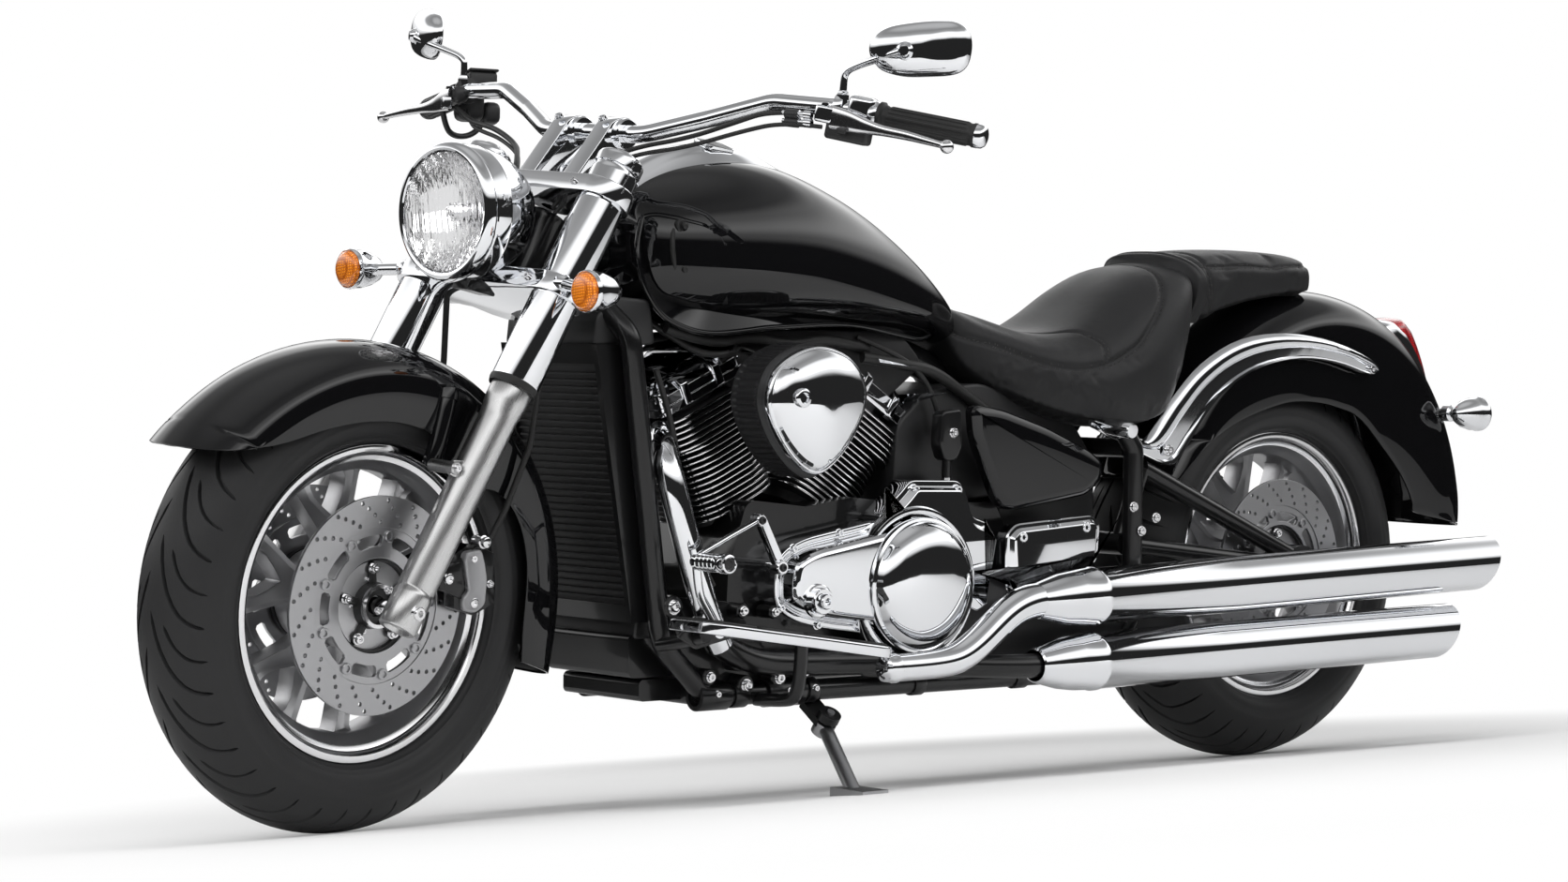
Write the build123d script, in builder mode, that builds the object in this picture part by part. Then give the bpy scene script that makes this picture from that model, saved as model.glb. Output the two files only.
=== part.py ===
from build123d import *
from math import atan2, cos, degrees, hypot, radians, sin, sqrt
import os

# A cruiser motorcycle with a V-twin engine, in millimetres, as separate pieces on five bodies:
# chassis, fork, front wheel, rear wheel and side stand.
#
# Every piece is drawn on the upright machine with its steering straight: the front faces -Y, the
# rider's left is +X, the floor is Z = 0 and Y = 0 is midway between the axles. Only when it is
# written is it carried to where it stands parked, leaning on its side stand with the bars a little
# to the left, with the origin on the floor under the centre of its box.

os.makedirs("parts", exist_ok=True)

# ------------------------------------------------------------------ driving dimensions
WHEELBASE = 1790
FRONT_Y = -WHEELBASE / 2
REAR_Y = WHEELBASE / 2
TYRE_R = 323  # both tyres
RIM_R = 217  # outer lip of the rims
SEAT_R = 203  # where the tyre beads sit
FRONT_HALF, REAR_HALF = 75, 100  # half widths of the tyres
FRONT_BEAD, REAR_BEAD = 52, 72  # half widths between the rim flanges
AXLE_R = 12

RAKE = 30  # the fork legs and the steering axis lean back by this
SETBACK = 35  # steering axis behind the line of the legs
LEG_X = 138  # each fork leg from the centre line
STEER_REST = 7  # bars turned to the left when parked
LEAN = 7  # parked lean to the left

STAND_PIVOT = (160, -150, 120)
STAND_AXIS = (0.5565, 0, 0.831)
STAND_FOOT = (300, -200)  # X and Y where it meets the floor

CRANK = (-172, 295)  # Y, Z of the crankshaft
FRONT_CYLINDER, REAR_CYLINDER = -25, 32  # degrees from upright, rearwards positive
PIVOT = (484, 370)  # Y, Z of the swingarm pivot

FORK = Plane(
    origin=(0, FRONT_Y, TYRE_R),
    x_dir=(1, 0, 0),
    z_dir=(0, sin(radians(RAKE)), cos(radians(RAKE))),
)
STEM = Plane(origin=FORK.from_local_coords((0, SETBACK, 0)), x_dir=FORK.x_dir, z_dir=FORK.z_dir)


# ------------------------------------------------------------------ shared shapes
def tube(points, radius, bends, wall=0):
    """A round tube along straight runs joined by tangent arcs."""
    with BuildPart() as run:
        with BuildLine() as path:
            if len(points) > 2:
                FilletPolyline(*points, radius=bends)
            else:
                Line(*points)
        with BuildSketch(Plane(origin=path.line @ 0, z_dir=path.line % 0)):
            Circle(radius)
            if wall:
                Circle(radius - wall, mode=Mode.SUBTRACT)
        sweep()
    return run.part


def rod(start, end, radius, end_radius=None):
    """A straight round bar, tapered when it has an end radius."""
    along = Vector(*end) - Vector(*start)
    with BuildPart() as bar:
        base = Plane(origin=start, z_dir=along)
        with BuildSketch(base):
            Circle(radius)
        if end_radius:
            with BuildSketch(base.offset(along.length)):
                Circle(end_radius)
            loft()
        else:
            extrude(amount=along.length)
    return bar.part


def side_plate(points, x_low, x_high, rounding=0):
    """A plate cut to a side outline of (Y, Z) points, between two X positions."""
    with BuildPart() as plate:
        with BuildSketch(Plane.YZ.offset(x_low)) as outline:
            Polygon(*points, align=None)
            if rounding:
                fillet(outline.vertices(), rounding)
        extrude(amount=x_high - x_low)
    return plate.part


def wheel_plane(y):
    """Across the wheel: local x is along the axle and local y is the radius, upwards."""
    return Plane(origin=(0, y, TYRE_R), x_dir=(1, 0, 0), z_dir=(0, -1, 0))


def axle_line(y):
    return Axis((0, y, TYRE_R), (1, 0, 0))


def ring(y, x_low, x_high, outer, inner):
    """A flat ring about an axle, between two X positions."""
    with BuildPart() as band:
        with BuildSketch(Plane(origin=(x_low, y, TYRE_R), x_dir=(0, 1, 0), z_dir=(1, 0, 0))):
            Circle(outer)
            Circle(inner, mode=Mode.SUBTRACT)
        extrude(amount=x_high - x_low)
    return band.part


# ------------------------------------------------------------------ wheels
def tyre_shape(y, half, bead, crown_drop):
    """A tyre as a hollow carcass, open between its beads."""
    edge, edge_r, mid_r = half - 4, TYRE_R - crown_drop, 246
    wall = 11
    with BuildPart() as tyre:
        with BuildSketch(wheel_plane(y)):
            with BuildLine():
                Polyline((bead - wall - 2, SEAT_R), (bead, SEAT_R), (bead, RIM_R + 1))
                ThreePointArc((bead, RIM_R + 1), (half, mid_r), (edge, edge_r))
                ThreePointArc((edge, edge_r), (0, TYRE_R), (-edge, edge_r))
                ThreePointArc((-edge, edge_r), (-half, mid_r), (-bead, RIM_R + 1))
                Polyline((-bead, RIM_R + 1), (-bead, SEAT_R), (wall + 2 - bead, SEAT_R))
                Line((wall + 2 - bead, SEAT_R), (wall - bead, RIM_R + 4))
                inner, inner_r = edge - wall, edge_r - 7
                ThreePointArc((wall - bead, RIM_R + 4), (wall - half, mid_r + 2), (-inner, inner_r))
                ThreePointArc((-inner, inner_r), (0, TYRE_R - wall - 2), (inner, inner_r))
                ThreePointArc((inner, inner_r), (half - wall, mid_r + 2), (bead - wall, RIM_R + 4))
                Line((bead - wall, RIM_R + 4), (bead - wall - 2, SEAT_R))
            make_face()
        revolve(axis=axle_line(y))
    return tyre.part


def rim_shape(y, bead, hub_r, hub_left, hub_right):
    """A cast wheel: drop-centre barrel, six forked spokes and a bored hub."""
    lip, step, well = 6, 16, 30
    spoke_half, root_half = 13, 24
    with BuildPart() as rim:
        with BuildSketch(wheel_plane(y)):
            Polygon(
                (-bead - lip, 196), (-bead - lip, RIM_R), (-bead, RIM_R), (-bead, SEAT_R),
                (step - bead, SEAT_R), (well - bead, 187), (bead - well, 187), (bead - step, SEAT_R),
                (bead, SEAT_R), (bead, RIM_R), (bead + lip, RIM_R), (bead + lip, 196),
                (bead - 12, 196), (bead - 28, 179), (28 - bead, 179), (12 - bead, 196),
                align=None,
            )
        revolve(axis=axle_line(y))
        for turn in range(6):
            middle = 15 + 60 * turn
            with BuildSketch(Plane(origin=(-spoke_half, y, TYRE_R), x_dir=(0, 1, 0), z_dir=(1, 0, 0))):
                for side in (-15, 15):
                    at = radians(middle + side)
                    root = radians(middle + side * 0.15)
                    across = Vector(-sin(at), cos(at)) * 12
                    end = Vector(cos(at), sin(at)) * 183
                    start = Vector(cos(root), sin(root)) * 88
                    Polygon(start + across, start - across, end - across, end + across, align=None)
            extrude(amount=2 * spoke_half)
            with BuildSketch(Plane(origin=(-root_half, y, TYRE_R), x_dir=(0, 1, 0), z_dir=(1, 0, 0))):
                at = radians(middle)
                along, across = Vector(cos(at), sin(at)), Vector(-sin(at), cos(at))
                Polygon(
                    along * 40 + across * 20, along * 40 - across * 20,
                    along * 122 - across * 17, along * 122 + across * 17, align=None,
                )
            extrude(amount=2 * root_half)
        add(ring(y, -hub_right, hub_left, hub_r, AXLE_R + 0.1))
        add(ring(y, -hub_right - 1, hub_left + 1, AXLE_R + 0.1, 1), mode=Mode.SUBTRACT)
        with BuildSketch(Plane(origin=(-hub_right, y, TYRE_R), x_dir=(0, 1, 0), z_dir=(1, 0, 0))):
            Circle(AXLE_R + 0.1)
        extrude(amount=hub_left + hub_right, mode=Mode.SUBTRACT)
    return rim.part


def disc_shape(y, x, outer, side, slots):
    """A brake disc on its slotted carrier; x is the carrier's inner face, side is +1 on the left."""
    def span(low, high):
        return sorted((side * (x + low), side * (x + high)))

    with BuildPart() as disc:
        low, high = span(4, 9)
        add(ring(y, low, high, outer, outer - 44))
        low, high = span(0, 6)
        add(ring(y, low, high, outer - 38, 40))
        with BuildSketch(Plane(origin=(low, y, TYRE_R), x_dir=(0, 1, 0), z_dir=(1, 0, 0))):
            with PolarLocations(outer - 62, slots):
                SlotOverall(34, 13, rotation=90)
        extrude(amount=high - low, mode=Mode.SUBTRACT)
    return disc.part


front_tyre = tyre_shape(FRONT_Y, FRONT_HALF, FRONT_BEAD, 54)
rear_tyre = tyre_shape(REAR_Y, REAR_HALF, REAR_BEAD, 58)
front_rim = rim_shape(FRONT_Y, FRONT_BEAD, 64, 70, 70)
rear_rim = rim_shape(REAR_Y, REAR_BEAD, 64, 84, 104)
FRONT_DISC_R, REAR_DISC_R = 150, 140

with BuildPart() as front_discs:
    for side in (-1, 1):
        add(disc_shape(FRONT_Y, 70, FRONT_DISC_R, side, 9))

with BuildPart() as rear_disc:
    add(disc_shape(REAR_Y, 84, REAR_DISC_R, 1, 7))

# belt drive on the right: a wheel pulley, a small engine pulley, and the belt round both
BELT_X = (-134, -112)
PULLEY_R, OUTPUT_R = 150, 46
OUTPUT = (215, 345)
with BuildPart() as drive_pulley:
    add(ring(REAR_Y, BELT_X[0], BELT_X[1], PULLEY_R, 118))
    add(ring(REAR_Y, BELT_X[0] + 8, BELT_X[1] - 8, 120, 40))
    add(ring(REAR_Y, BELT_X[0] + 4, -104, 60, AXLE_R + 0.1))
    with BuildSketch(Plane(origin=(BELT_X[0], REAR_Y, TYRE_R), x_dir=(0, 1, 0), z_dir=(1, 0, 0))):
        with PolarLocations(90, 8):
            Circle(17)
    extrude(amount=BELT_X[1] - BELT_X[0], mode=Mode.SUBTRACT)

# ------------------------------------------------------------------ where it stands parked
foot = FORK.from_local_coords((0, SETBACK, 0))
STEER = (
    Location(foot)
    * Location((0, 0, 0), (-RAKE, 0, 0))
    * Location((0, 0, 0), (0, 0, STEER_REST))
    * Location((0, 0, 0), (RAKE, 0, 0))
    * Location(foot).inverse()
)
TILT = Location((0, 0, 0), (0, LEAN, 0))
front_low = (TILT * STEER * front_tyre).bounding_box().min.Z
rear_low = (TILT * rear_tyre).bounding_box().min.Z
NOSE = Location((0, 0, 0), (degrees(atan2(front_low - rear_low, WHEELBASE)), 0, 0))
LEANED = NOSE * TILT
floor_drop = (LEANED * rear_tyre).bounding_box().min.Z
PARK_X, PARK_Y = -109, -75
PARK = Location((PARK_X, PARK_Y, -floor_drop)) * LEANED
FLOOR = Plane(PARK.inverse())


def save(part, label, place=PARK):
    """Carries a piece to where it stands and writes it."""
    standing = place * part
    standing.label = label
    export_step(standing, f"parts/{label}.step")


def save_steered(part, label):
    save(part, label, PARK * STEER)


# ------------------------------------------------------------------ headlight
LAMP_Z, LAMP_FACE, LAMP_BACK = 858, -742, -610
LAMP_AXIS = Axis((0, LAMP_FACE, LAMP_Z), (0, 1, 0))
lamp_plane = Plane(origin=(0, 0, LAMP_Z), x_dir=(0, 1, 0), z_dir=(1, 0, 0))
with BuildPart() as headlight_shell:
    with BuildSketch(lamp_plane):
        with BuildLine():
            Polyline((-700, 0), (-704, 60), (LAMP_FACE + 4, 84), (LAMP_FACE, 84), (LAMP_FACE, 92))
            ThreePointArc((LAMP_FACE, 92), (-736, 97), (-728, 95))
            Line((-728, 95), (-724, 91))
            ThreePointArc((-724, 91), (-668, 82), (LAMP_BACK - 12, 50))
            ThreePointArc((LAMP_BACK - 12, 50), (LAMP_BACK - 3, 44), (LAMP_BACK, 34))
            Polyline((LAMP_BACK, 34), (LAMP_BACK, 0), (-700, 0))
        make_face()
    revolve(axis=LAMP_AXIS)

with BuildPart() as headlight_lens:
    lens_r, lens_rise = 83.5, 13
    with BuildSketch(lamp_plane):
        with BuildLine():
            Polyline((-738, 0), (-738, lens_r), (-743, lens_r))
            RadiusArc((-743, lens_r), (-743 - lens_rise, 0), -(lens_r**2 + lens_rise**2) / (2 * lens_rise))
            Line((-743 - lens_rise, 0), (-738, 0))
        make_face()
    revolve(axis=LAMP_AXIS)

# ------------------------------------------------------------------ fork
COVER_R, SLIDER_R = 28, 23
COVER_LOW, COVER_TOP, CAP_TOP = 355, 692, 715
LOWER_CLAMP, UPPER_CLAMP = (485, 513), (642, 668)
HEAD_TUBE = (520, 635)

with BuildPart() as front_axle:
    add(rod((-LEG_X - 26, FRONT_Y, TYRE_R), (LEG_X + 26, FRONT_Y, TYRE_R), AXLE_R))

with BuildPart() as fork_sliders:
    with BuildSketch(FORK.offset(-28)):
        with Locations((LEG_X, 0), (-LEG_X, 0)):
            Circle(SLIDER_R + 4)
    extrude(amount=62)
    with BuildSketch(FORK.offset(30)):
        with Locations((LEG_X, 0), (-LEG_X, 0)):
            Circle(SLIDER_R)
    extrude(amount=350)
    add(front_axle.part, mode=Mode.SUBTRACT)

with BuildPart() as fork_covers:
    with BuildSketch(FORK.offset(COVER_LOW)):
        with Locations((LEG_X, 0), (-LEG_X, 0)):
            Circle(COVER_R)
            Circle(SLIDER_R + 1, mode=Mode.SUBTRACT)
    extrude(amount=45)
    with BuildSketch(FORK.offset(COVER_LOW + 45)):
        with Locations((LEG_X, 0), (-LEG_X, 0)):
            Circle(COVER_R)
    extrude(amount=COVER_TOP - COVER_LOW - 45)
    with BuildSketch(FORK.offset(COVER_TOP)):
        with Locations((LEG_X, 0), (-LEG_X, 0)):
            Circle(COVER_R - 4)
    extrude(amount=CAP_TOP - COVER_TOP)


def clamp_outline(depth):
    with BuildSketch() as outline:
        with Locations((LEG_X, 0), (-LEG_X, 0)):
            Circle(COVER_R + 6)
        Rectangle(2 * LEG_X, depth)
        with Locations((0, SETBACK)):
            Circle(34)
        Polygon((-80, depth / 2 - 1), (80, depth / 2 - 1), (30, SETBACK + 10), (-30, SETBACK + 10), align=None)
    return outline.sketch


with BuildPart() as fork_clamps:
    for low, high in (LOWER_CLAMP, UPPER_CLAMP):
        with BuildSketch(FORK.offset(low)):
            add(clamp_outline(52))
        extrude(amount=high - low)
    with BuildSketch(STEM.offset(LOWER_CLAMP[0])):
        Circle(14)
    extrude(amount=UPPER_CLAMP[1] - LOWER_CLAMP[0] + 8)
    for piece in (fork_covers, headlight_shell):
        add(piece.part, mode=Mode.SUBTRACT)

with BuildPart() as headlight_bracket:
    add(side_plate([(-705, 752), (-655, 742), (-640, 752), (-640, 790), (-690, 790)], -16, 16))
    for piece in (headlight_shell, fork_clamps):
        add(piece.part, mode=Mode.SUBTRACT)

# ------------------------------------------------------------------ front indicators
INDICATOR = (250, -698, 764)
with BuildPart() as front_indicators:
    for side in (-1, 1):
        x, y, z = side * INDICATOR[0], INDICATOR[1], INDICATOR[2]
        add(rod((x, y, z), (x, y + 22, z), 28))
        add(rod((x, y + 22, z), (x, y + 58, z), 28, 8))
        add(rod((side * 150, -656, 772), (x, y + 24, z), 9))
    for piece in (fork_clamps, fork_covers):
        add(piece.part, mode=Mode.SUBTRACT)

with BuildPart() as front_lenses:
    for side in (-1, 1):
        x, y, z = side * INDICATOR[0], INDICATOR[1], INDICATOR[2]
        add(rod((x, y, z), (x, y - 8, z), 26, 21))

# ------------------------------------------------------------------ handlebar
BAR_R, BAR_Y, BAR_Z = 12.7, -462, 980
BAR_HALF = [(0, BAR_Y, BAR_Z), (100, BAR_Y, BAR_Z), (190, -418, 1008), (280, -384, 1036), (390, -366, 1032),
            (470, -322, 1018), (580, -278, 1002)]
with BuildPart() as handlebar:
    add(tube(BAR_HALF, BAR_R, [60, 60, 70, 70, 90]))
    mirror(about=Plane.YZ)


def on_bar(start, end):
    """Points of the outer straight run of the bar, by distance in from its left end."""
    inner, outer = Vector(*BAR_HALF[-2]), Vector(*BAR_HALF[-1])
    back = (inner - outer).normalized()
    return outer + back * start, outer + back * end


with BuildPart() as risers:
    for x in (-48, 48):
        add(side_plate([(-560, 905), (-512, 892), (-440, 975), (-452, 1000), (-500, 1002)], x - 15, x + 15, 8))
    for piece in (handlebar, fork_clamps):
        add(piece.part, mode=Mode.SUBTRACT)

with BuildPart() as grips:
    start, end = on_bar(-4, 118)
    add(rod(start, end, 17))
    mirror(about=Plane.YZ)
    add(handlebar.part, mode=Mode.SUBTRACT)

with BuildPart() as switch_housings:
    start, end = on_bar(122, 160)
    add(rod(start, end, 22))
    add(rod((398, -372, 1034), (388, -402, 1034), 13))
    mirror(about=Plane.YZ)
    add(handlebar.part, mode=Mode.SUBTRACT)

LEVER_RUN = (196, 42, -48)
with BuildPart() as hand_levers:
    blade = Plane(origin=(392, -404, 1034), x_dir=LEVER_RUN, z_dir=Vector(*LEVER_RUN).cross(Vector(0, 1, 0.3)))
    with BuildSketch(blade.offset(-4.5)):
        with BuildLine():
            Polyline((-8, -9), (-8, 10), (30, 12))
            ThreePointArc((30, 12), (110, -2), (198, 4))
            Line((198, 4), (198, -6))
            ThreePointArc((198, -6), (110, -13), (30, -9))
            Line((30, -9), (-8, -9))
        make_face()
    extrude(amount=9)
    with Locations(blade.from_local_coords((202, -1, 0))):
        Sphere(9)
    mirror(about=Plane.YZ)
    add(switch_housings.part, mode=Mode.SUBTRACT)

with BuildPart() as mirrors:
    add(tube([(396, -368, 1046), (404, -362, 1080), (470, -384, 1100), (513, -372, 1112)], 6, [25, 40]))
    head = Plane(origin=(520, -340, 1121), x_dir=(0.8, 0.59, 0.08), z_dir=(0.59, -0.8, 0.05))
    with BuildSketch(head) as back:
        RectangleRounded(118, 80, 28)
    with BuildSketch(head.offset(26)):
        RectangleRounded(84, 48, 20)
    loft()
    with BuildSketch(head.offset(-4)):
        RectangleRounded(118, 80, 28)
    extrude(amount=4)
    mirror(about=Plane.YZ)
    add(switch_housings.part, mode=Mode.SUBTRACT)
    add(handlebar.part, mode=Mode.SUBTRACT)

with BuildPart() as mirror_glasses:
    with BuildSketch(head.offset(-6)):
        RectangleRounded(110, 72, 25)
    extrude(amount=2)
    mirror(about=Plane.YZ)

# ------------------------------------------------------------------ front fender and brakes
FENDER_R, FENDER_HALF, SKIN = 357, 92, 3


def fender_section(radius, half, depth):
    """Half of a deep U, from the crown at local x = 0 to the skirt's edge."""
    with BuildLine() as line:
        crown = ThreePointArc((0, radius), (half * 0.62, radius - 12), (half, radius - 48))
        Line(crown @ 1, (half, depth))
        Line((half, depth), (half - SKIN, depth))
        Line((half - SKIN, depth), (half - SKIN, radius - 49))
        ThreePointArc((half - SKIN, radius - 49), (half * 0.6, radius - 12 - SKIN), (0, radius - SKIN))
        Line((0, radius - SKIN), (0, radius))
    return line.line


with BuildPart() as front_fender:
    with BuildSketch(Plane(origin=(0, FRONT_Y, TYRE_R), x_dir=(1, 0, 0), z_dir=(0, -1, 0))) as section:
        add(make_face(fender_section(FENDER_R, FENDER_HALF, 248).edges()))
        mirror(about=Plane.YZ)
    revolve(axis=axle_line(FRONT_Y))
    with BuildSketch(Plane.YZ.offset(-120)):
        with BuildLine():
            Polyline((-1300, 538), (-1200, 538), (-1120, 512), (-1040, 500), (-880, 560), (-800, 558), (-775, 490),
                     (-680, 400), (-600, 214), (-400, 205), (-400, -100), (-1300, -100), (-1300, 538))
        make_face()
    extrude(amount=240, mode=Mode.SUBTRACT)

with BuildPart() as front_calipers:
    add(side_plate([(-772, 330), (-772, 392), (-740, 404), (-712, 392), (-706, 322), (-745, 308)], 60, 104, 8))
    add(side_plate([(-800, 350), (-762, 350), (-762, 372), (-812, 392), (-846, 372)], 104, 116, 4))
    with BuildSketch(Plane(origin=(68, FRONT_Y, TYRE_R), x_dir=(0, 1, 0), z_dir=(1, 0, 0))):
        Circle(FRONT_DISC_R + 5)
    extrude(amount=17, mode=Mode.SUBTRACT)
    mirror(about=Plane.YZ)
    add(fork_sliders.part, mode=Mode.SUBTRACT)

HOSE_ROUTE = [(98, -722, 396), (102, -690, 452), (104, -652, 540), (102, -638, 640), (100, -640, 748)]
with BuildPart() as brake_hoses:
    add(tube(HOSE_ROUTE, 4.5, [60, 90, 90]))
    mirror(about=Plane.YZ)
    for piece in (front_calipers, fork_clamps, front_fender):
        add(piece.part, mode=Mode.SUBTRACT)

# ------------------------------------------------------------------ frame
RAIL_X, RAIL_Z, UPRIGHT_X, TUBE_R = 132, 172, 155, 16
head_top = STEM.from_local_coords((0, 0, HEAD_TUBE[1]))
head_low = STEM.from_local_coords((0, 0, HEAD_TUBE[0]))
with BuildPart() as frame_cradle:
    add(rod(tuple(head_low), tuple(head_top), 30))
    add(tube([(0, head_top.Y + 20, head_top.Z - 50), (0, -300, 800), (0, 60, 690), (0, 420, 560)], 24, [120, 160]))
    add(tube([(0, -572, 796), (75, -524, 748), (RAIL_X, -496, 690), (RAIL_X, -434, 249), (RAIL_X, -350, RAIL_Z),
              (RAIL_X, 400, RAIL_Z), (UPRIGHT_X, 486, 250), (UPRIGHT_X, 486, 520), (UPRIGHT_X - 10, 380, 640)],
             TUBE_R, [40, 60, 60, 60, 45, 60, 70]))
    mirror(about=Plane.YZ)
    for y, z in ((486, 520), (-350, RAIL_Z), (330, RAIL_Z)):
        add(rod((-RAIL_X - 10, y, z), (RAIL_X + 10, y, z), 15))
    add(rod((0, 410, 560), (0, 486, 524), 15))
    lug = Plane(origin=STAND_PIVOT, x_dir=(0.831, 0, -0.5565), z_dir=STAND_AXIS)
    with BuildSketch(lug.offset(13)):
        Circle(17)
        with Locations((-26, 0)):
            Rectangle(52, 34)
    extrude(amount=12)
    with BuildSketch(lug.offset(12)):
        Circle(6.1)
    extrude(amount=14, mode=Mode.SUBTRACT)
    with BuildSketch(STEM.offset(HEAD_TUBE[0])):
        Circle(14.3)
    extrude(amount=HEAD_TUBE[1] - HEAD_TUBE[0], mode=Mode.SUBTRACT)

# ------------------------------------------------------------------ engine
with BuildPart() as engine_case:
    with BuildSketch(Plane.YZ.offset(-112)) as outline:
        Polygon(
            (-300, 250), (-296, 350), (-262, 452), (-150, 440), (-60, 452), (60, 440), (230, 440), (262, 380),
            (262, 250), (200, 200), (-230, 196), align=None,
        )
        fillet(outline.vertices(), 22)
    extrude(amount=224)

FIN_LOW, FIN_TOP, BARREL_R = 165, 335, 66
BARREL_FINS, HEAD_FINS = 13, 6


def cylinder_plane(lean):
    turn = radians(lean)
    return Plane(origin=(0, CRANK[0], CRANK[1]), x_dir=(1, 0, 0), z_dir=(0, sin(turn), cos(turn)))


with BuildPart() as cylinders:
    for lean in (FRONT_CYLINDER, REAR_CYLINDER):
        base = cylinder_plane(lean)
        with BuildSketch(base.offset(150)):
            Circle(BARREL_R)
        extrude(amount=FIN_TOP - 150 + 8)
        pitch = (FIN_TOP - FIN_LOW) / (BARREL_FINS + HEAD_FINS)
        for fin in range(BARREL_FINS + HEAD_FINS):
            with BuildSketch(base.offset(FIN_LOW + fin * pitch)):
                if fin < BARREL_FINS:
                    RectangleRounded(160, 160, 56)
                else:
                    RectangleRounded(172, 170, 44)
            extrude(amount=pitch * 0.4)
    add(engine_case.part, mode=Mode.SUBTRACT)

with BuildPart() as rocker_covers:
    for lean in (FRONT_CYLINDER, REAR_CYLINDER):
        base = cylinder_plane(lean)
        with BuildSketch(base.offset(FIN_TOP + 8)):
            RectangleRounded(172, 166, 30)
        with BuildSketch(base.offset(FIN_TOP + 40)):
            RectangleRounded(164, 158, 30)
        loft()
        with BuildSketch(base.offset(FIN_TOP + 40)):
            RectangleRounded(164, 158, 30)
        with BuildSketch(base.offset(FIN_TOP + 68)):
            RectangleRounded(120, 108, 24)
        loft()
        for place in (-41, 23):
            foot = base.offset(FIN_TOP + 8).from_local_coords((0, place, 0))
            with BuildSketch(Plane(origin=foot, x_dir=base.x_dir, z_dir=base.y_dir)):
                Polygon((-88, -2), (-84, -34), (-61, -64), (61, -64), (84, -34), (88, -2), align=None)
            extrude(amount=14)

AIR_X = (200, 252)


def teardrop(scale):
    """The air cleaner's outline about its round centre, in Y and Z."""
    with BuildSketch() as drop:
        Circle(100 * scale)
        with Locations((18, -82 * scale)):
            Circle(24 * scale)
        with BuildLine():
            Polyline((-100 * scale, 0), (-5 * scale, -90 * scale), (41 * scale, -90 * scale), (100 * scale, 0), close=True)
        make_face()
    return drop.sketch


AIR_CENTRE = (-236, 592)
with BuildPart() as air_cleaner_body:
    with BuildSketch(Plane(origin=(150, AIR_CENTRE[0], AIR_CENTRE[1]), x_dir=(0, 1, 0), z_dir=(1, 0, 0))):
        add(teardrop(0.98))
    extrude(amount=AIR_X[0] - 150)
    add(rod((70, AIR_CENTRE[0] + 60, AIR_CENTRE[1] - 30), (150, AIR_CENTRE[0] + 30, AIR_CENTRE[1] - 10), 34))
    for piece in (cylinders, rocker_covers):
        add(piece.part, mode=Mode.SUBTRACT)

with BuildPart() as air_cleaner_cover:
    outer = Plane(origin=(AIR_X[0], AIR_CENTRE[0], AIR_CENTRE[1]), x_dir=(0, 1, 0), z_dir=(1, 0, 0))
    with BuildSketch(outer):
        add(teardrop(1.0))
    extrude(amount=22)
    with BuildSketch(outer.offset(22)):
        Circle(94)
    with BuildSketch(outer.offset(AIR_X[1] - AIR_X[0])):
        Circle(58)
    loft()

DOME = (22, 322)
with BuildPart() as primary_cover:
    with BuildSketch(Plane.YZ.offset(112)):
        with Locations((CRANK[0] - 6, 318)):
            Circle(72)
        with Locations(DOME):
            Circle(108)
        Polygon((CRANK[0] - 6, 390), (DOME[0], 430), (DOME[0], 214), (CRANK[0] - 6, 246), align=None)
    extrude(amount=70)
    with BuildSketch(Plane.YZ.offset(182)):
        with Locations(DOME):
            Circle(98)
    with BuildSketch(Plane.YZ.offset(212)):
        with Locations(DOME):
            Circle(70)
    loft()
    with BuildSketch(Plane.YZ.offset(182)):
        with Locations((-180, 306)):
            Circle(22)
    extrude(amount=18)

with BuildPart() as right_covers:
    with BuildSketch(Plane.YZ.offset(-112)):
        with Locations((CRANK[0], 312)):
            Circle(96)
        with Locations((-20, 330)):
            Circle(84)
    extrude(amount=-60)
    with BuildSketch(Plane.YZ.offset(-172)):
        with Locations((CRANK[0], 312)):
            Circle(80)
    with BuildSketch(Plane.YZ.offset(-190)):
        with Locations((CRANK[0], 312)):
            Circle(56)
    loft()

with BuildPart() as gearbox_cover:
    add(side_plate([(14, 440), (14, 470), (123, 466), (150, 425), (182, 410), (176, 285), (150, 285), (140, 420),
                    (60, 452)], 112, 168, 4))
    for piece in (primary_cover, engine_case):
        add(piece.part, mode=Mode.SUBTRACT)

# ------------------------------------------------------------------ cooling
RADIATOR_LINE = (-0.175, -424)  # front face: Y = slope x Z + offset
SLATS, SLAT_PITCH = 33, 10


def radiator_y(z):
    return RADIATOR_LINE[0] * z + RADIATOR_LINE[1]


with BuildPart() as radiator:
    add(side_plate([(radiator_y(306) + 8, 306), (radiator_y(648) + 8, 648), (radiator_y(648) + 44, 648),
                    (radiator_y(306) + 44, 306)], -104, 104))
    for number in range(SLATS):
        z = 312 + number * SLAT_PITCH
        add(side_plate([(radiator_y(z) + 3, z), (radiator_y(z) + 3, z + 3), (radiator_y(z) + 10, z + 5),
                        (radiator_y(z) + 10, z)], -100, 100))

with BuildPart() as radiator_shroud:
    add(side_plate([(radiator_y(281), 281), (radiator_y(676), 676), (radiator_y(676) + 56, 676),
                    (radiator_y(281) + 56, 281)], -114, 114))
    add(side_plate([(-700, 306), (-700, 648), (-300, 648), (-300, 306)], -104, 104), mode=Mode.SUBTRACT)
    add(frame_cradle.part, mode=Mode.SUBTRACT)

with BuildPart() as lower_boxes:
    add(side_plate([(-462, 200), (-466, 262), (-400, 262), (-380, 200)], -96, 96, 8))
    add(side_plate([(-440, 165), (-440, 196), (-350, 196), (-340, 165)], -90, 90, 8))
    add(frame_cradle.part, mode=Mode.SUBTRACT)

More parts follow.
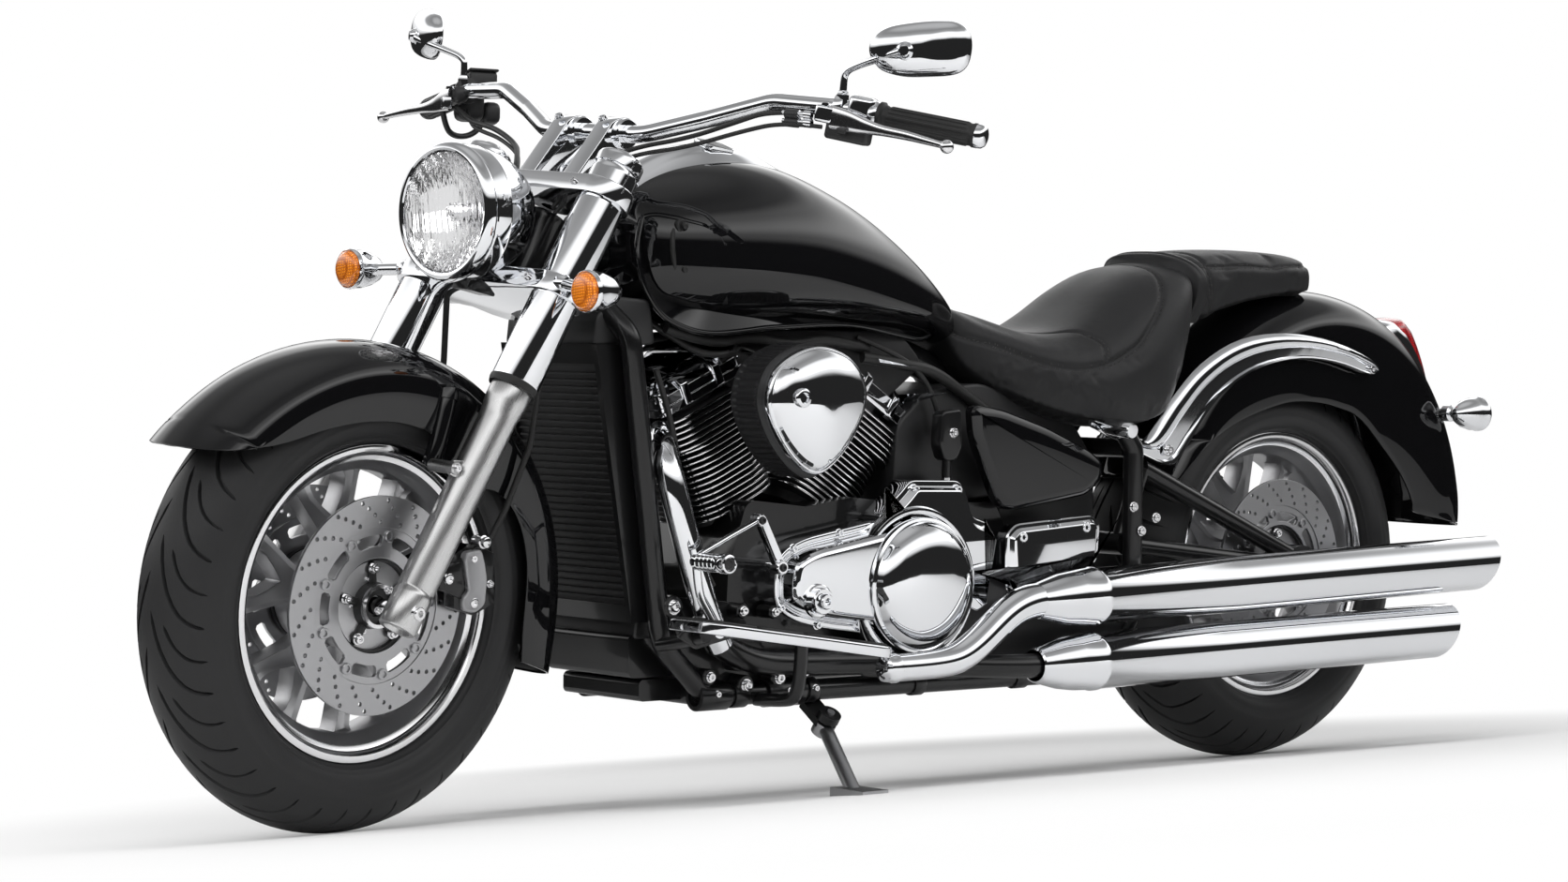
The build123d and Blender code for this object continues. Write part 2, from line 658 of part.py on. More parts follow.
# ------------------------------------------------------------------ tank
TANK = (  # Y, half width, top Z, widest Z, bottom Z
    (-424, 96, 890, 820, 735),
    (-360, 140, 935, 810, 712),
    (-230, 168, 948, 795, 700),
    (-60, 156, 905, 770, 700),
    (100, 112, 815, 740, 690),
    (205, 62, 738, 706, 672),
)


def tank_section(y, half, top, wide, low):
    with BuildSketch(Plane(origin=(0, y, 0), x_dir=(1, 0, 0), z_dir=(0, -1, 0))) as face:
        with BuildLine():
            shoulder = (half * 0.74, wide + (top - wide) * 0.68)
            ThreePointArc((-shoulder[0], shoulder[1]), (0, top), (shoulder[0], shoulder[1]))
            ThreePointArc((shoulder[0], shoulder[1]), (half, wide), (half * 0.8, low))
            Line((half * 0.8, low), (-half * 0.8, low))
            ThreePointArc((-half * 0.8, low), (-half, wide), (-shoulder[0], shoulder[1]))
        make_face()
    return face.sketch


with BuildPart() as fuel_tank:
    for row in TANK:
        with BuildSketch(Plane(origin=(0, row[0], 0), x_dir=(1, 0, 0), z_dir=(0, -1, 0))):
            add(tank_section(*row))
    loft()
    with BuildSketch(Plane(origin=(0, -500, 0), x_dir=(1, 0, 0), z_dir=(0, -1, 0))):
        Polygon((-44, 600), (44, 600), (44, 800), (-44, 800), align=None)
    extrude(amount=-800, mode=Mode.SUBTRACT)
    for piece in (frame_cradle, rocker_covers):
        add(piece.part, mode=Mode.SUBTRACT)

with BuildPart() as tank_console:
    with BuildSketch(Plane.YZ.offset(-40)):
        Polygon((-380, 900), (-360, 950), (-300, 972), (-200, 972), (-60, 925), (80, 840), (130, 790), (100, 780),
                align=None)
    extrude(amount=80)
    add(fuel_tank.part, mode=Mode.SUBTRACT)

# ------------------------------------------------------------------ rear fender and seat
ARCH = (1000, 410, 366)  # Y, Z and radius of the fender's crown
REAR_FENDER_HALF = 118
arch_plane = Plane(origin=(0, ARCH[0], ARCH[1]), x_dir=(1, 0, 0), z_dir=(0, -1, 0))


def cut_sides(points):
    """A blade across the whole machine, cut to a side outline, for trimming skirts."""
    return side_plate(points, -160, 160)


with BuildPart() as rear_fender:
    with BuildSketch(arch_plane) as section:
        add(make_face(fender_section(ARCH[2], REAR_FENDER_HALF, 20).edges()))
        mirror(about=Plane.YZ)
    revolve(axis=Axis((0, ARCH[0], ARCH[1]), (-1, 0, 0)), revolution_arc=96)
    add(extrude(section.sketch, amount=360))
    add(cut_sides([(600, 380), (600, 485), (700, 485), (760, 380)]), mode=Mode.SUBTRACT)
    add(cut_sides([(900, 200), (900, 404), (1200, 404), (1200, 200)]), mode=Mode.SUBTRACT)
    with BuildSketch(Plane.YZ.offset(-160)):
        with Locations((REAR_Y, TYRE_R)):
            Circle(262)
    extrude(amount=320, mode=Mode.SUBTRACT)

SEAT = (  # Y, half width, top Z, bottom Z
    (235, 70, 735, 690),
    (345, 120, 716, 625),
    (470, 150, 740, 588),
    (600, 150, 800, 580),
    (655, 135, 818, 640),
)


def cushion(rows, corner):
    with BuildPart() as pad:
        for y, half, top, low in rows:
            with BuildSketch(Plane(origin=(0, y, 0), x_dir=(1, 0, 0), z_dir=(0, -1, 0))):
                with Locations((0, (top + low) / 2)):
                    RectangleRounded(2 * half, top - low, min(corner, (top - low) / 2 - 2))
        loft()
    return pad.part


with BuildPart() as rider_seat:
    add(cushion(SEAT, 40))
    for piece in (frame_cradle, rear_fender, fuel_tank):
        add(piece.part, mode=Mode.SUBTRACT)

with BuildPart() as pillion_pad:
    add(cushion(((662, 92, 822, 779), (760, 104, 838, 779), (900, 100, 836, 779), (1010, 84, 815, 779)), 20))
    add(rear_fender.part, mode=Mode.SUBTRACT)
    add(rider_seat.part, mode=Mode.SUBTRACT)

with BuildPart() as side_covers:
    add(side_plate([(132, 607), (300, 600), (424, 500), (430, 450), (204, 436), (150, 470)], 100, 150, 10))
    mirror(about=Plane.YZ)
    for piece in (frame_cradle, engine_case, gearbox_cover, rider_seat):
        add(piece.part, mode=Mode.SUBTRACT)

with BuildPart() as tool_covers:
    add(side_plate([(208, 312), (208, 398), (228, 410), (392, 420), (408, 404), (404, 352), (396, 342), (264, 331),
                    (228, 306)], 141, 166, 8))
    add(side_plate([(250, 405), (250, 446), (310, 450), (310, 405)], 141, 149))
    mirror(about=Plane.YZ)
    for piece in (frame_cradle, engine_case, gearbox_cover, side_covers):
        add(piece.part, mode=Mode.SUBTRACT)

with BuildPart() as tail_lamp:
    with BuildSketch(Plane(origin=(0, 1268, 662), x_dir=(1, 0, 0), z_dir=(0, 0.77, 0.64))):
        RectangleRounded(120, 92, 30)
    extrude(amount=62)
    add(rear_fender.part, mode=Mode.SUBTRACT)

with BuildPart() as rear_indicators:
    for side in (-1, 1):
        add(rod((side * 104, 1300, 571), (side * 128, 1300, 571), 10))
        add(rod((side * 150, 1300, 571), (side * 150, 1322, 571), 28))
        add(rod((side * 150, 1300, 571), (side * 150, 1262, 571), 28, 10))
    add(rear_fender.part, mode=Mode.SUBTRACT)

with BuildPart() as rear_lenses:
    for side in (-1, 1):
        add(rod((side * 150, 1322, 571), (side * 150, 1331, 571), 26, 20))

# ------------------------------------------------------------------ swingarm and rear brake
with BuildPart() as rear_axle:
    add(rod((-178, REAR_Y, TYRE_R), (150, REAR_Y, TYRE_R), AXLE_R))

with BuildPart() as swingarm:
    for x in (128, -156):
        add(rod((x, 530, 488), (x, 880, 340), 15))
        add(rod((x, PIVOT[0], PIVOT[1]), (x, 880, TYRE_R), 14))
        add(rod((x - 14, REAR_Y, TYRE_R), (x + 14, REAR_Y, TYRE_R), 34))
        add(rod((x, 530, 488), (x, PIVOT[0], PIVOT[1]), 14))
    add(rod((-156, PIVOT[0], PIVOT[1]), (142, PIVOT[0], PIVOT[1]), 18))
    for piece in (rear_axle, frame_cradle):
        add(piece.part, mode=Mode.SUBTRACT)

RACK_BOSS = (960, 677)  # Y, Z of the luggage rack's bolt on each side
RACK_HOLE_R = 4.25
with BuildPart() as fender_rails:
    add(tube([(146, 372, 574), (146, 560, 508), (140, 640, 520), (136, 760, 640), (132, 900, 690), (128, 1074, 655)],
             11, [60, 50, 60, 60]))
    add(rod((118, 700, 570), (136, 700, 570), 10))
    add(rod((116, RACK_BOSS[0], RACK_BOSS[1]), (150, RACK_BOSS[0], RACK_BOSS[1]), 14))
    add(rod((120, RACK_BOSS[0], RACK_BOSS[1]), (151, RACK_BOSS[0], RACK_BOSS[1]), RACK_HOLE_R), mode=Mode.SUBTRACT)
    mirror(about=Plane.YZ)
    for piece in (rear_fender, rider_seat, frame_cradle, side_covers, swingarm):
        add(piece.part, mode=Mode.SUBTRACT)

with BuildPart() as rear_caliper:
    add(side_plate([(740, 240), (800, 240), (820, 290), (750, 300), (720, 270)], 72, 112, 6))
    with BuildSketch(Plane(origin=(82, REAR_Y, TYRE_R), x_dir=(0, 1, 0), z_dir=(1, 0, 0))):
        Circle(REAR_DISC_R + 5)
    extrude(amount=16, mode=Mode.SUBTRACT)
    add(swingarm.part, mode=Mode.SUBTRACT)

with BuildPart() as drive_belt:
    with BuildSketch(Plane.YZ.offset(BELT_X[0] + 1)) as loop:
        big, small = PULLEY_R + 6, OUTPUT_R + 6
        span = hypot(REAR_Y - OUTPUT[0], TYRE_R - OUTPUT[1])
        lift = (big - small) / span
        along = Vector(OUTPUT[0] - REAR_Y, OUTPUT[1] - TYRE_R) / span
        across = Vector(-along.Y, along.X)
        for grow, mode in ((0, Mode.ADD), (-5.5, Mode.SUBTRACT)):
            with Locations((REAR_Y, TYRE_R)):
                Circle(big + grow, mode=mode)
            with Locations(OUTPUT):
                Circle(small + grow, mode=mode)
            ends = []
            for side in (1, -1):
                out = along * lift + across * (side * sqrt(1 - lift * lift))
                ends.append((Vector(REAR_Y, TYRE_R) + out * (big + grow), Vector(*OUTPUT) + out * (small + grow)))
            Polygon(ends[0][0], ends[0][1], ends[1][1], ends[1][0], align=None, mode=mode)
    extrude(amount=BELT_X[1] - BELT_X[0] - 2)

with BuildPart() as output_pulley:
    with BuildSketch(Plane.YZ.offset(BELT_X[0])):
        with Locations(OUTPUT):
            Circle(OUTPUT_R)
    extrude(amount=BELT_X[1] - BELT_X[0] - 4)

# ------------------------------------------------------------------ exhaust
MUFFLERS = (  # start, end, radius at the seam, length of the cone before it, the cone's small radius
    ((230, 300, 296), (230, 1254, 324), 36, 90, 25),
    ((230, 300, 204), (230, 1154, 214), 41, 176, 21),
)
MOUTH_R, MOUTH_DEPTH, SLASH = 41, 60, 23
with BuildPart() as mufflers:
    for start, end, seam, cone, neck in MUFFLERS:
        along = (Vector(*end) - Vector(*start)).normalized()
        add(rod(start, end, seam, 44))
        add(rod(Vector(*start) - along * 1, Vector(*start) + along * 7, seam + 2))
        slope = along if neck < 22 else Vector(0, cos(radians(13)), sin(radians(13)))
        add(rod(Vector(*start) - slope * cone, Vector(*start) + along, neck, seam))
        add(rod(Vector(*end) - along * MOUTH_DEPTH, Vector(*end) + along, MOUTH_R), mode=Mode.SUBTRACT)
        middle = Vector(*end) - Vector(0, 44 * sin(radians(SLASH)), 0)
        with BuildSketch(Plane(origin=middle, x_dir=(1, 0, 0), z_dir=(0, cos(radians(SLASH)), -sin(radians(SLASH))))):
            Rectangle(110, 120)
        extrude(amount=60, mode=Mode.SUBTRACT)

with BuildPart() as headers:
    add(tube([(60, -400, 540), (150, -440, 500), (165, -392, 300), (168, -330, 212), (200, -60, 206), (230, 140, 203), (230, 200, 203)],
             20, [40, 60, 70, 200, 60]))
    add(tube([(226, -70, 206), (228, 50, 207), (230, 150, 262), (230, 214, 276)], 20, [80, 80]))
    for piece in (frame_cradle, engine_case, cylinders, rocker_covers, mufflers, primary_cover):
        add(piece.part, mode=Mode.SUBTRACT)

# ------------------------------------------------------------------ feet
with BuildPart() as floorboards:
    add(side_plate([(-505, 296), (-505, 282), (-160, 232), (-160, 246)], 225, 332))
    add(rod((140, -440, 250), (240, -440, 268), 12))
    add(tube([(140, -262, 164), (238, -262, 164), (238, -262, 250)], 10, [20]))
    mirror(about=Plane.YZ)
    for piece in (frame_cradle, headers):
        add(piece.part, mode=Mode.SUBTRACT)

with BuildPart() as board_pads:
    for front, rear in ((-494, -412), (-406, -324), (-318, -240), (-234, -172)):
        rise = [296 - (y + 505) * 50 / 345 for y in (front, rear)]
        add(side_plate([(front, rise[0]), (front, rise[0] + 4), (rear, rise[1] + 4), (rear, rise[1])], 232, 325))
    mirror(about=Plane.YZ)

with BuildPart() as foot_pegs:
    add(rod((220, -449, 374), (300, -449, 374), 13))
    add(tube([(226, -449, 374), (226, -440, 322), (226, -412, 280)], 7, [40]))
    add(rod((216, -412, 276), (238, -412, 276), 11))
    add(rod((175, -290, 424), (175, -249, 362), 8))
    add(rod((120, -249, 362), (183, -249, 362), 9))
    add(rod((175, -290, 424), (222, -445, 378), 4))
    mirror(about=Plane.YZ)
    for side in (-1, 1):
        add(rod((side * 150, 428, 556), (side * 214, 428, 549), 12))
    for piece in (side_covers, fender_rails, frame_cradle, headers, floorboards, board_pads, right_covers,
                  gearbox_cover, primary_cover, engine_case, radiator_shroud, cylinders):
        add(piece.part, mode=Mode.SUBTRACT)

# ------------------------------------------------------------------ side stand
with BuildPart() as side_stand:
    hinge = Plane(origin=STAND_PIVOT, z_dir=STAND_AXIS)
    add(rod(STAND_PIVOT, (*STAND_FOOT, 20), 11))
    with BuildSketch(hinge.offset(-12)):
        Circle(16)
    extrude(amount=20)
    with BuildSketch(hinge.offset(8)):
        Circle(6)
    extrude(amount=20)
    with Locations((STAND_FOOT[0] - 8, STAND_FOOT[1] + 4, 30)):
        Box(72, 48, 30)
    split(bisect_by=FLOOR, keep=Keep.TOP)

# ------------------------------------------------------------------ writing
for label, piece in {
    "frame_cradle": frame_cradle, "fuel_tank": fuel_tank, "tank_console": tank_console,
    "engine_case": engine_case, "cylinders": cylinders, "rocker_covers": rocker_covers,
    "air_cleaner_body": air_cleaner_body, "air_cleaner_cover": air_cleaner_cover,
    "primary_cover": primary_cover, "right_covers": right_covers, "gearbox_cover": gearbox_cover,
    "radiator": radiator, "radiator_shroud": radiator_shroud, "lower_boxes": lower_boxes,
    "rear_fender": rear_fender, "rider_seat": rider_seat, "pillion_pad": pillion_pad,
    "side_covers": side_covers, "tool_covers": tool_covers, "board_pads": board_pads,
    "rear_lenses": rear_lenses, "fender_rails": fender_rails, "tail_lamp": tail_lamp,
    "rear_indicators": rear_indicators, "rear_axle": rear_axle, "swingarm": swingarm,
    "rear_caliper": rear_caliper, "drive_belt": drive_belt, "output_pulley": output_pulley,
    "mufflers": mufflers, "headers": headers, "floorboards": floorboards, "foot_pegs": foot_pegs,
    "rear_disc": rear_disc, "drive_pulley": drive_pulley, "side_stand": side_stand,
}.items():
    save(piece.part, label)
for label, piece in {
    "front_axle": front_axle, "fork_sliders": fork_sliders, "fork_covers": fork_covers,
    "fork_clamps": fork_clamps, "headlight_shell": headlight_shell, "headlight_lens": headlight_lens,
    "headlight_bracket": headlight_bracket, "front_indicators": front_indicators,
    "front_lenses": front_lenses, "handlebar": handlebar, "risers": risers, "grips": grips,
    "switch_housings": switch_housings, "hand_levers": hand_levers, "mirrors": mirrors,
    "mirror_glasses": mirror_glasses, "brake_hoses": brake_hoses,
    "front_fender": front_fender, "front_calipers": front_calipers, "front_discs": front_discs,
}.items():
    save_steered(piece.part, label)
save(rear_tyre, "rear_tyre")
save(rear_rim, "rear_rim")
save_steered(front_tyre, "front_tyre")
save_steered(front_rim, "front_rim")
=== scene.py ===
import math

import bmesh
import bpy
from mathutils import Matrix, Vector
from mathutils.kdtree import KDTree


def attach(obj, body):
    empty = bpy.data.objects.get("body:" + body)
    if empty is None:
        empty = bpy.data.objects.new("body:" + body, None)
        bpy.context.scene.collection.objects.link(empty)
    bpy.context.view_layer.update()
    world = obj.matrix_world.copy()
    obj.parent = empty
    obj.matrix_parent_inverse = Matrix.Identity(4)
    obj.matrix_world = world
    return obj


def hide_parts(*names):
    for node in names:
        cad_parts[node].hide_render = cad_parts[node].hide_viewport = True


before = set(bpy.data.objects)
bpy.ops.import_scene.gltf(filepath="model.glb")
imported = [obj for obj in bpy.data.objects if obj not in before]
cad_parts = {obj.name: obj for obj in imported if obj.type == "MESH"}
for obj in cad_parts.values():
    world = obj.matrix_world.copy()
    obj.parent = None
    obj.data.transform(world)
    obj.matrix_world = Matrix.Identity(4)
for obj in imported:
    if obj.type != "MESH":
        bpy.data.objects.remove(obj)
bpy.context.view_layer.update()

# A cruiser motorcycle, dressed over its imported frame. Its pieces are modelled in millimetres on the
# upright machine with the steering straight: the front faces -Y, the rider's left is +X, the floor
# is Z = 0 and Y = 0 is midway between the axles. STANDING carries such a piece, in metres, to where
# the parked machine leans on its side stand. STEERED does the same for what turns with the fork.

MM = 0.001
LEAN = math.radians(7)
NOSE = math.radians(0.0605)
PARK = Vector((-109, -75, -0.136))
STEER = math.radians(7)
RAKE = math.radians(30)
STEM_FOOT = Vector((0, -864.7, 305.5))  # a point of the steering axis
STEM_UP = Vector((0, math.sin(RAKE), math.cos(RAKE)))

LEANED = Matrix.Translation(PARK) @ Matrix.Rotation(NOSE, 4, "X") @ Matrix.Rotation(LEAN, 4, "Y")
TURNED = Matrix.Translation(STEM_FOOT) @ Matrix.Rotation(STEER, 4, STEM_UP) @ Matrix.Translation(-STEM_FOOT)
STANDING = Matrix.Scale(MM, 4) @ LEANED
STEERED = STANDING @ TURNED

FRONT_AXLE = Vector((0, -895, 323))
REAR_AXLE = Vector((0, 895, 323))
ACROSS = Vector((1, 0, 0))
ALONG = Vector((0, 1, 0))
UP = Vector((0, 0, 1))


# ------------------------------------------------------------------ camera
SENSOR = 36  # the camera's sensor width, in millimetres
FRAME_WIDTH = 1672  # pixels across the frame that the focal length is given in
FOCAL_LENGTH = 4143.02  # in those pixels


def add_camera():
    """The camera, placed from the upright machine and carried with it."""
    azimuth, elevation, roll = math.radians(49.91), math.radians(1.72), math.radians(0.79)
    eye = Vector((4457.81, -3852.03, 707.49))
    level = Vector((math.cos(azimuth), math.sin(azimuth), 0))
    back = Vector((
        math.sin(azimuth) * math.cos(elevation),
        -math.cos(azimuth) * math.cos(elevation),
        math.sin(elevation),
    ))
    tall = back.cross(level)
    right = level * math.cos(roll) + tall * math.sin(roll)
    up = tall * math.cos(roll) - level * math.sin(roll)
    turn = Matrix((right, up, back)).transposed().to_4x4()
    place = LEANED @ Matrix.Translation(eye) @ turn
    camera = bpy.data.objects.new("camera", bpy.data.cameras.new("camera"))
    bpy.context.scene.collection.objects.link(camera)
    camera.matrix_world = Matrix.Translation(place.translation * MM) @ place.to_3x3().to_4x4()
    camera.data.sensor_fit = "HORIZONTAL"
    camera.data.sensor_width = SENSOR
    camera.data.lens = SENSOR * FOCAL_LENGTH / FRAME_WIDTH
    camera.data.clip_end = 100
    bpy.context.scene.camera = camera


add_camera()


# ------------------------------------------------------------------ finishes
def effect(name, numbers, colours=(), gives=()):
    """An empty shader node group with named inputs and outputs, and its two end nodes."""
    group = bpy.data.node_groups.new(name, "ShaderNodeTree")
    for label, value in numbers.items():
        socket = group.interface.new_socket(label, in_out="INPUT", socket_type="NodeSocketFloat")
        socket.default_value = value
    for label in colours:
        group.interface.new_socket(label, in_out="INPUT", socket_type="NodeSocketColor")
    group.interface.new_socket("Vector", in_out="INPUT", socket_type="NodeSocketVector")
    for label in gives:
        kind = "NodeSocketColor" if label == "Colour" else "NodeSocketFloat"
        group.interface.new_socket(label, in_out="OUTPUT", socket_type=kind)
    return group, group.nodes.new("NodeGroupInput"), group.nodes.new("NodeGroupOutput")


def node(tree, kind, links=(), **settings):
    """A shader node with its settings, and its inputs linked or set by (input, source or value)."""
    made = tree.nodes.new("ShaderNode" + kind)
    for key, value in settings.items():
        setattr(made, key, value)
    for key, source in links:
        if isinstance(source, bpy.types.NodeSocket):
            tree.links.new(source, made.inputs[key])
        else:
            made.inputs[key].default_value = source
    return made


def make_mottle():
    """A soft change of shade and of roughness over a surface."""
    group, given, out = effect("mottle", {
        "Scale": 8, "Shade": 0.1, "Roughness": 0.3, "Spread": 0.1,
    }, ["Colour"], ["Colour", "Roughness"])
    cloud = node(group, "TexNoise", [
        ("Vector", given.outputs["Vector"]), ("Scale", given.outputs["Scale"]), ("Detail", 4),
    ])
    centred = node(group, "Math", [(0, cloud.outputs[0]), (1, 0.5)], operation="SUBTRACT")
    shade = node(group, "Math", [
        (0, centred.outputs[0]), (1, given.outputs["Shade"]), (2, 1),
    ], operation="MULTIPLY_ADD")
    colour = node(group, "VectorMath", [
        (0, given.outputs["Colour"]), ("Scale", shade.outputs[0]),
    ], operation="SCALE")
    rough = node(group, "Math", [
        (0, centred.outputs[0]), (1, given.outputs["Spread"]), (2, given.outputs["Roughness"]),
    ], operation="MULTIPLY_ADD")
    group.links.new(colour.outputs[0], out.inputs["Colour"])
    group.links.new(rough.outputs[0], out.inputs["Roughness"])
    return group


def make_grain():
    """Fine bumps, as on cast metal and moulded rubber."""
    group, given, out = effect("grain", {"Scale": 600, "Detail": 3, "Contrast": 1}, (), ["Height"])
    fine = node(group, "TexNoise", [
        ("Vector", given.outputs["Vector"]), ("Scale", given.outputs["Scale"]),
        ("Detail", given.outputs["Detail"]),
    ])
    height = node(group, "Math", [
        (0, fine.outputs[0]), (1, given.outputs["Contrast"]),
    ], operation="MULTIPLY")
    group.links.new(height.outputs[0], out.inputs["Height"])
    return group


def make_brushing():
    """Fine scratches that run along the pattern's Z."""
    group, given, out = effect("brushing", {
        "Scale": 900, "Stretch": 0.02, "Roughness": 0.3, "Spread": 0.2,
    }, (), ["Height", "Roughness"])
    squeeze = node(group, "CombineXYZ", [
        ("X", given.outputs["Scale"]), ("Y", given.outputs["Scale"]),
    ])
    run = node(group, "Math", [
        (0, given.outputs["Scale"]), (1, given.outputs["Stretch"]),
    ], operation="MULTIPLY")
    group.links.new(run.outputs[0], squeeze.inputs["Z"])
    drawn = node(group, "VectorMath", [
        (0, given.outputs["Vector"]), (1, squeeze.outputs[0]),
    ], operation="MULTIPLY")
    lines = node(group, "TexNoise", [("Vector", drawn.outputs[0]), ("Scale", 1), ("Detail", 2)])
    centred = node(group, "Math", [(0, lines.outputs[0]), (1, 0.5)], operation="SUBTRACT")
    rough = node(group, "Math", [
        (0, centred.outputs[0]), (1, given.outputs["Spread"]), (2, given.outputs["Roughness"]),
    ], operation="MULTIPLY_ADD")
    group.links.new(lines.outputs[0], out.inputs["Height"])
    group.links.new(rough.outputs[0], out.inputs["Roughness"])
    return group


def make_hide_grain():
    """The pebbled cells of leather, with their fine creases."""
    group, given, out = effect("hide_grain", {"Scale": 700, "Crease": 0.4}, (), ["Height", "Cell"])
    bend = node(group, "TexNoise", [("Vector", given.outputs["Vector"]), ("Scale", 60), ("Detail", 3)])
    moved = node(group, "VectorMath", [
        (0, bend.outputs["Color"]), ("Scale", 0.006),
    ], operation="SCALE")
    where = node(group, "VectorMath", [(0, given.outputs["Vector"]), (1, moved.outputs[0])])
    cells = node(group, "TexVoronoi", [
        ("Vector", where.outputs[0]), ("Scale", given.outputs["Scale"]),
    ], feature="DISTANCE_TO_EDGE")
    rounded = node(group, "Math", [(0, cells.outputs[0]), (1, 0.45)], operation="POWER")
    creases = node(group, "TexNoise", [
        ("Vector", given.outputs["Vector"]), ("Scale", 120), ("Detail", 5),
    ])
    height = node(group, "Math", [
        (0, creases.outputs[0]), (1, given.outputs["Crease"]), (2, rounded.outputs[0]),
    ], operation="MULTIPLY_ADD")
    group.links.new(height.outputs[0], out.inputs["Height"])
    group.links.new(rounded.outputs[0], out.inputs["Cell"])
    return group


MOTTLE, GRAIN, BRUSHING, HIDE_GRAIN = make_mottle(), make_grain(), make_brushing(), make_hide_grain()


class Finish:
    """A material with its Principled shader, read from Object coordinates."""

    def __init__(self, name, **values):
        self.material = bpy.data.materials.new(name)
        self.material.use_nodes = True
        self.tree = self.material.node_tree
        self.shader = self.tree.nodes["Principled BSDF"]
        self.place = self.tree.nodes.new("ShaderNodeTexCoord").outputs["Object"]
        for label, value in values.items():
            self.shader.inputs[label.replace("_", " ")].default_value = value

    def turned(self, along):
        """The coordinates turned so that their Z runs along a direction of the upright machine."""
        way = (LEANED.to_3x3() @ Vector(along)).normalized()
        turn = way.rotation_difference(UP).to_euler()
        return node(self.tree, "Mapping", [("Vector", self.place), ("Rotation", turn)]).outputs[0]

    def group(self, tree, vector=None, **values):
        placed = self.tree.nodes.new("ShaderNodeGroup")
        placed.node_tree = tree
        self.tree.links.new(vector or self.place, placed.inputs["Vector"])
        for label, value in values.items():
            placed.inputs[label].default_value = value
        return placed

    def mottled(self, colour, scale, shade, roughness, spread):
        cloud = self.group(
            MOTTLE, Colour=(*colour, 1), Scale=scale, Shade=shade, Roughness=roughness, Spread=spread
        )
        self.tree.links.new(cloud.outputs["Colour"], self.shader.inputs["Base Color"])
        self.tree.links.new(cloud.outputs["Roughness"], self.shader.inputs["Roughness"])
        return self

    def bumped(self, height, distance, strength=1.0):
        bump = node(self.tree, "Bump", [("Height", height), ("Strength", strength), ("Distance", distance)])
        self.tree.links.new(bump.outputs[0], self.shader.inputs["Normal"])
        return self

    def grained(self, scale, distance, detail=3):
        return self.bumped(self.group(GRAIN, Scale=scale, Detail=detail).outputs["Height"], distance)

    def brushed(self, along, scale, distance, roughness, spread):
        drawn = self.group(BRUSHING, self.turned(along), Scale=scale, Roughness=roughness, Spread=spread)
        self.tree.links.new(drawn.outputs["Roughness"], self.shader.inputs["Roughness"])
        return self.bumped(drawn.outputs["Height"], distance)


def make_finish(name, colour, scale, shade, roughness, spread, grain=None, **values):
    """A mottled finish; grain is the scale and the depth of its fine bumps."""
    finish = Finish(name, **values).mottled(colour, scale, shade, roughness, spread)
    if grain:
        finish.grained(*grain)
    return finish.material


chrome = make_finish("chrome", (0.83, 0.84, 0.86), 6, 0.04, 0.045, 0.03, Metallic=1.0)
black_paint = make_finish(
    "black_paint", (0.003, 0.003, 0.0034), 5, 0.2, 0.16, 0.06, (60, 0.00001, 1),
    Coat_Weight=1.0, Coat_Roughness=0.02, Specular_IOR_Level=0.0,
)
frame_black = make_finish(
    "frame_black", (0.005, 0.005, 0.0053), 20, 0.3, 0.3, 0.1,
    Coat_Weight=0.5, Coat_Roughness=0.08, Specular_IOR_Level=0.2,
)
satin_black = make_finish("satin_black", (0.012, 0.012, 0.0125), 30, 0.3, 0.42, 0.12, (1500, 0.0001))
brushed_alloy = Finish("brushed_alloy", Metallic=1.0).mottled((0.62, 0.62, 0.62), 20, 0.06, 0.3, 0.1).brushed(
    STEM_UP, 1400, 0.00004, 0.3, 0.2).material
cast_alloy = make_finish("cast_alloy", (0.47, 0.47, 0.48), 25, 0.12, 0.36, 0.1, (900, 0.00016), Metallic=1.0)
polished_alloy = make_finish("polished_alloy", (0.78, 0.78, 0.79), 15, 0.05, 0.12, 0.06, Metallic=1.0)
disc_steel = make_finish("disc_steel", (0.42, 0.42, 0.43), 12, 0.1, 0.3, 0.1, Metallic=1.0)
caliper_grey = make_finish(
    "caliper_grey", (0.36, 0.36, 0.37), 25, 0.1, 0.42, 0.1, (700, 0.0002), Metallic=0.7
)
tyre_rubber = make_finish(
    "tyre_rubber", (0.013, 0.013, 0.0135), 14, 0.35, 0.5, 0.12, (420, 0.00025), Specular_IOR_Level=0.35
)
black_rubber = make_finish(
    "black_rubber", (0.012, 0.012, 0.012), 40, 0.3, 0.5, 0.15, (900, 0.0002), Specular_IOR_Level=0.4
)


def make_leather(name, colour):
    """Black seat leather with a pebbled grain and a soft sheen."""
    finish = Finish(name, Specular_IOR_Level=0.32, Sheen_Weight=0.03, Sheen_Roughness=0.4).mottled(
        colour, 9, 0.4, 0.42, 0.12)
    hide = finish.group(HIDE_GRAIN, Scale=650, Crease=0.5)
    return finish.bumped(hide.outputs["Height"], 0.0005, 0.5).material


leather = make_leather("leather", (0.008, 0.008, 0.0085))

AMBER = (0.85, 0.26, 0.012)
# The darker amber and red below are painted shade, put on the edges of the lens cells.
AMBER_EDGE_SHADE = (0.3, 0.06, 0.003)
RED = (0.5, 0.006, 0.01)
RED_EDGE_SHADE = (0.12, 0.002, 0.003)


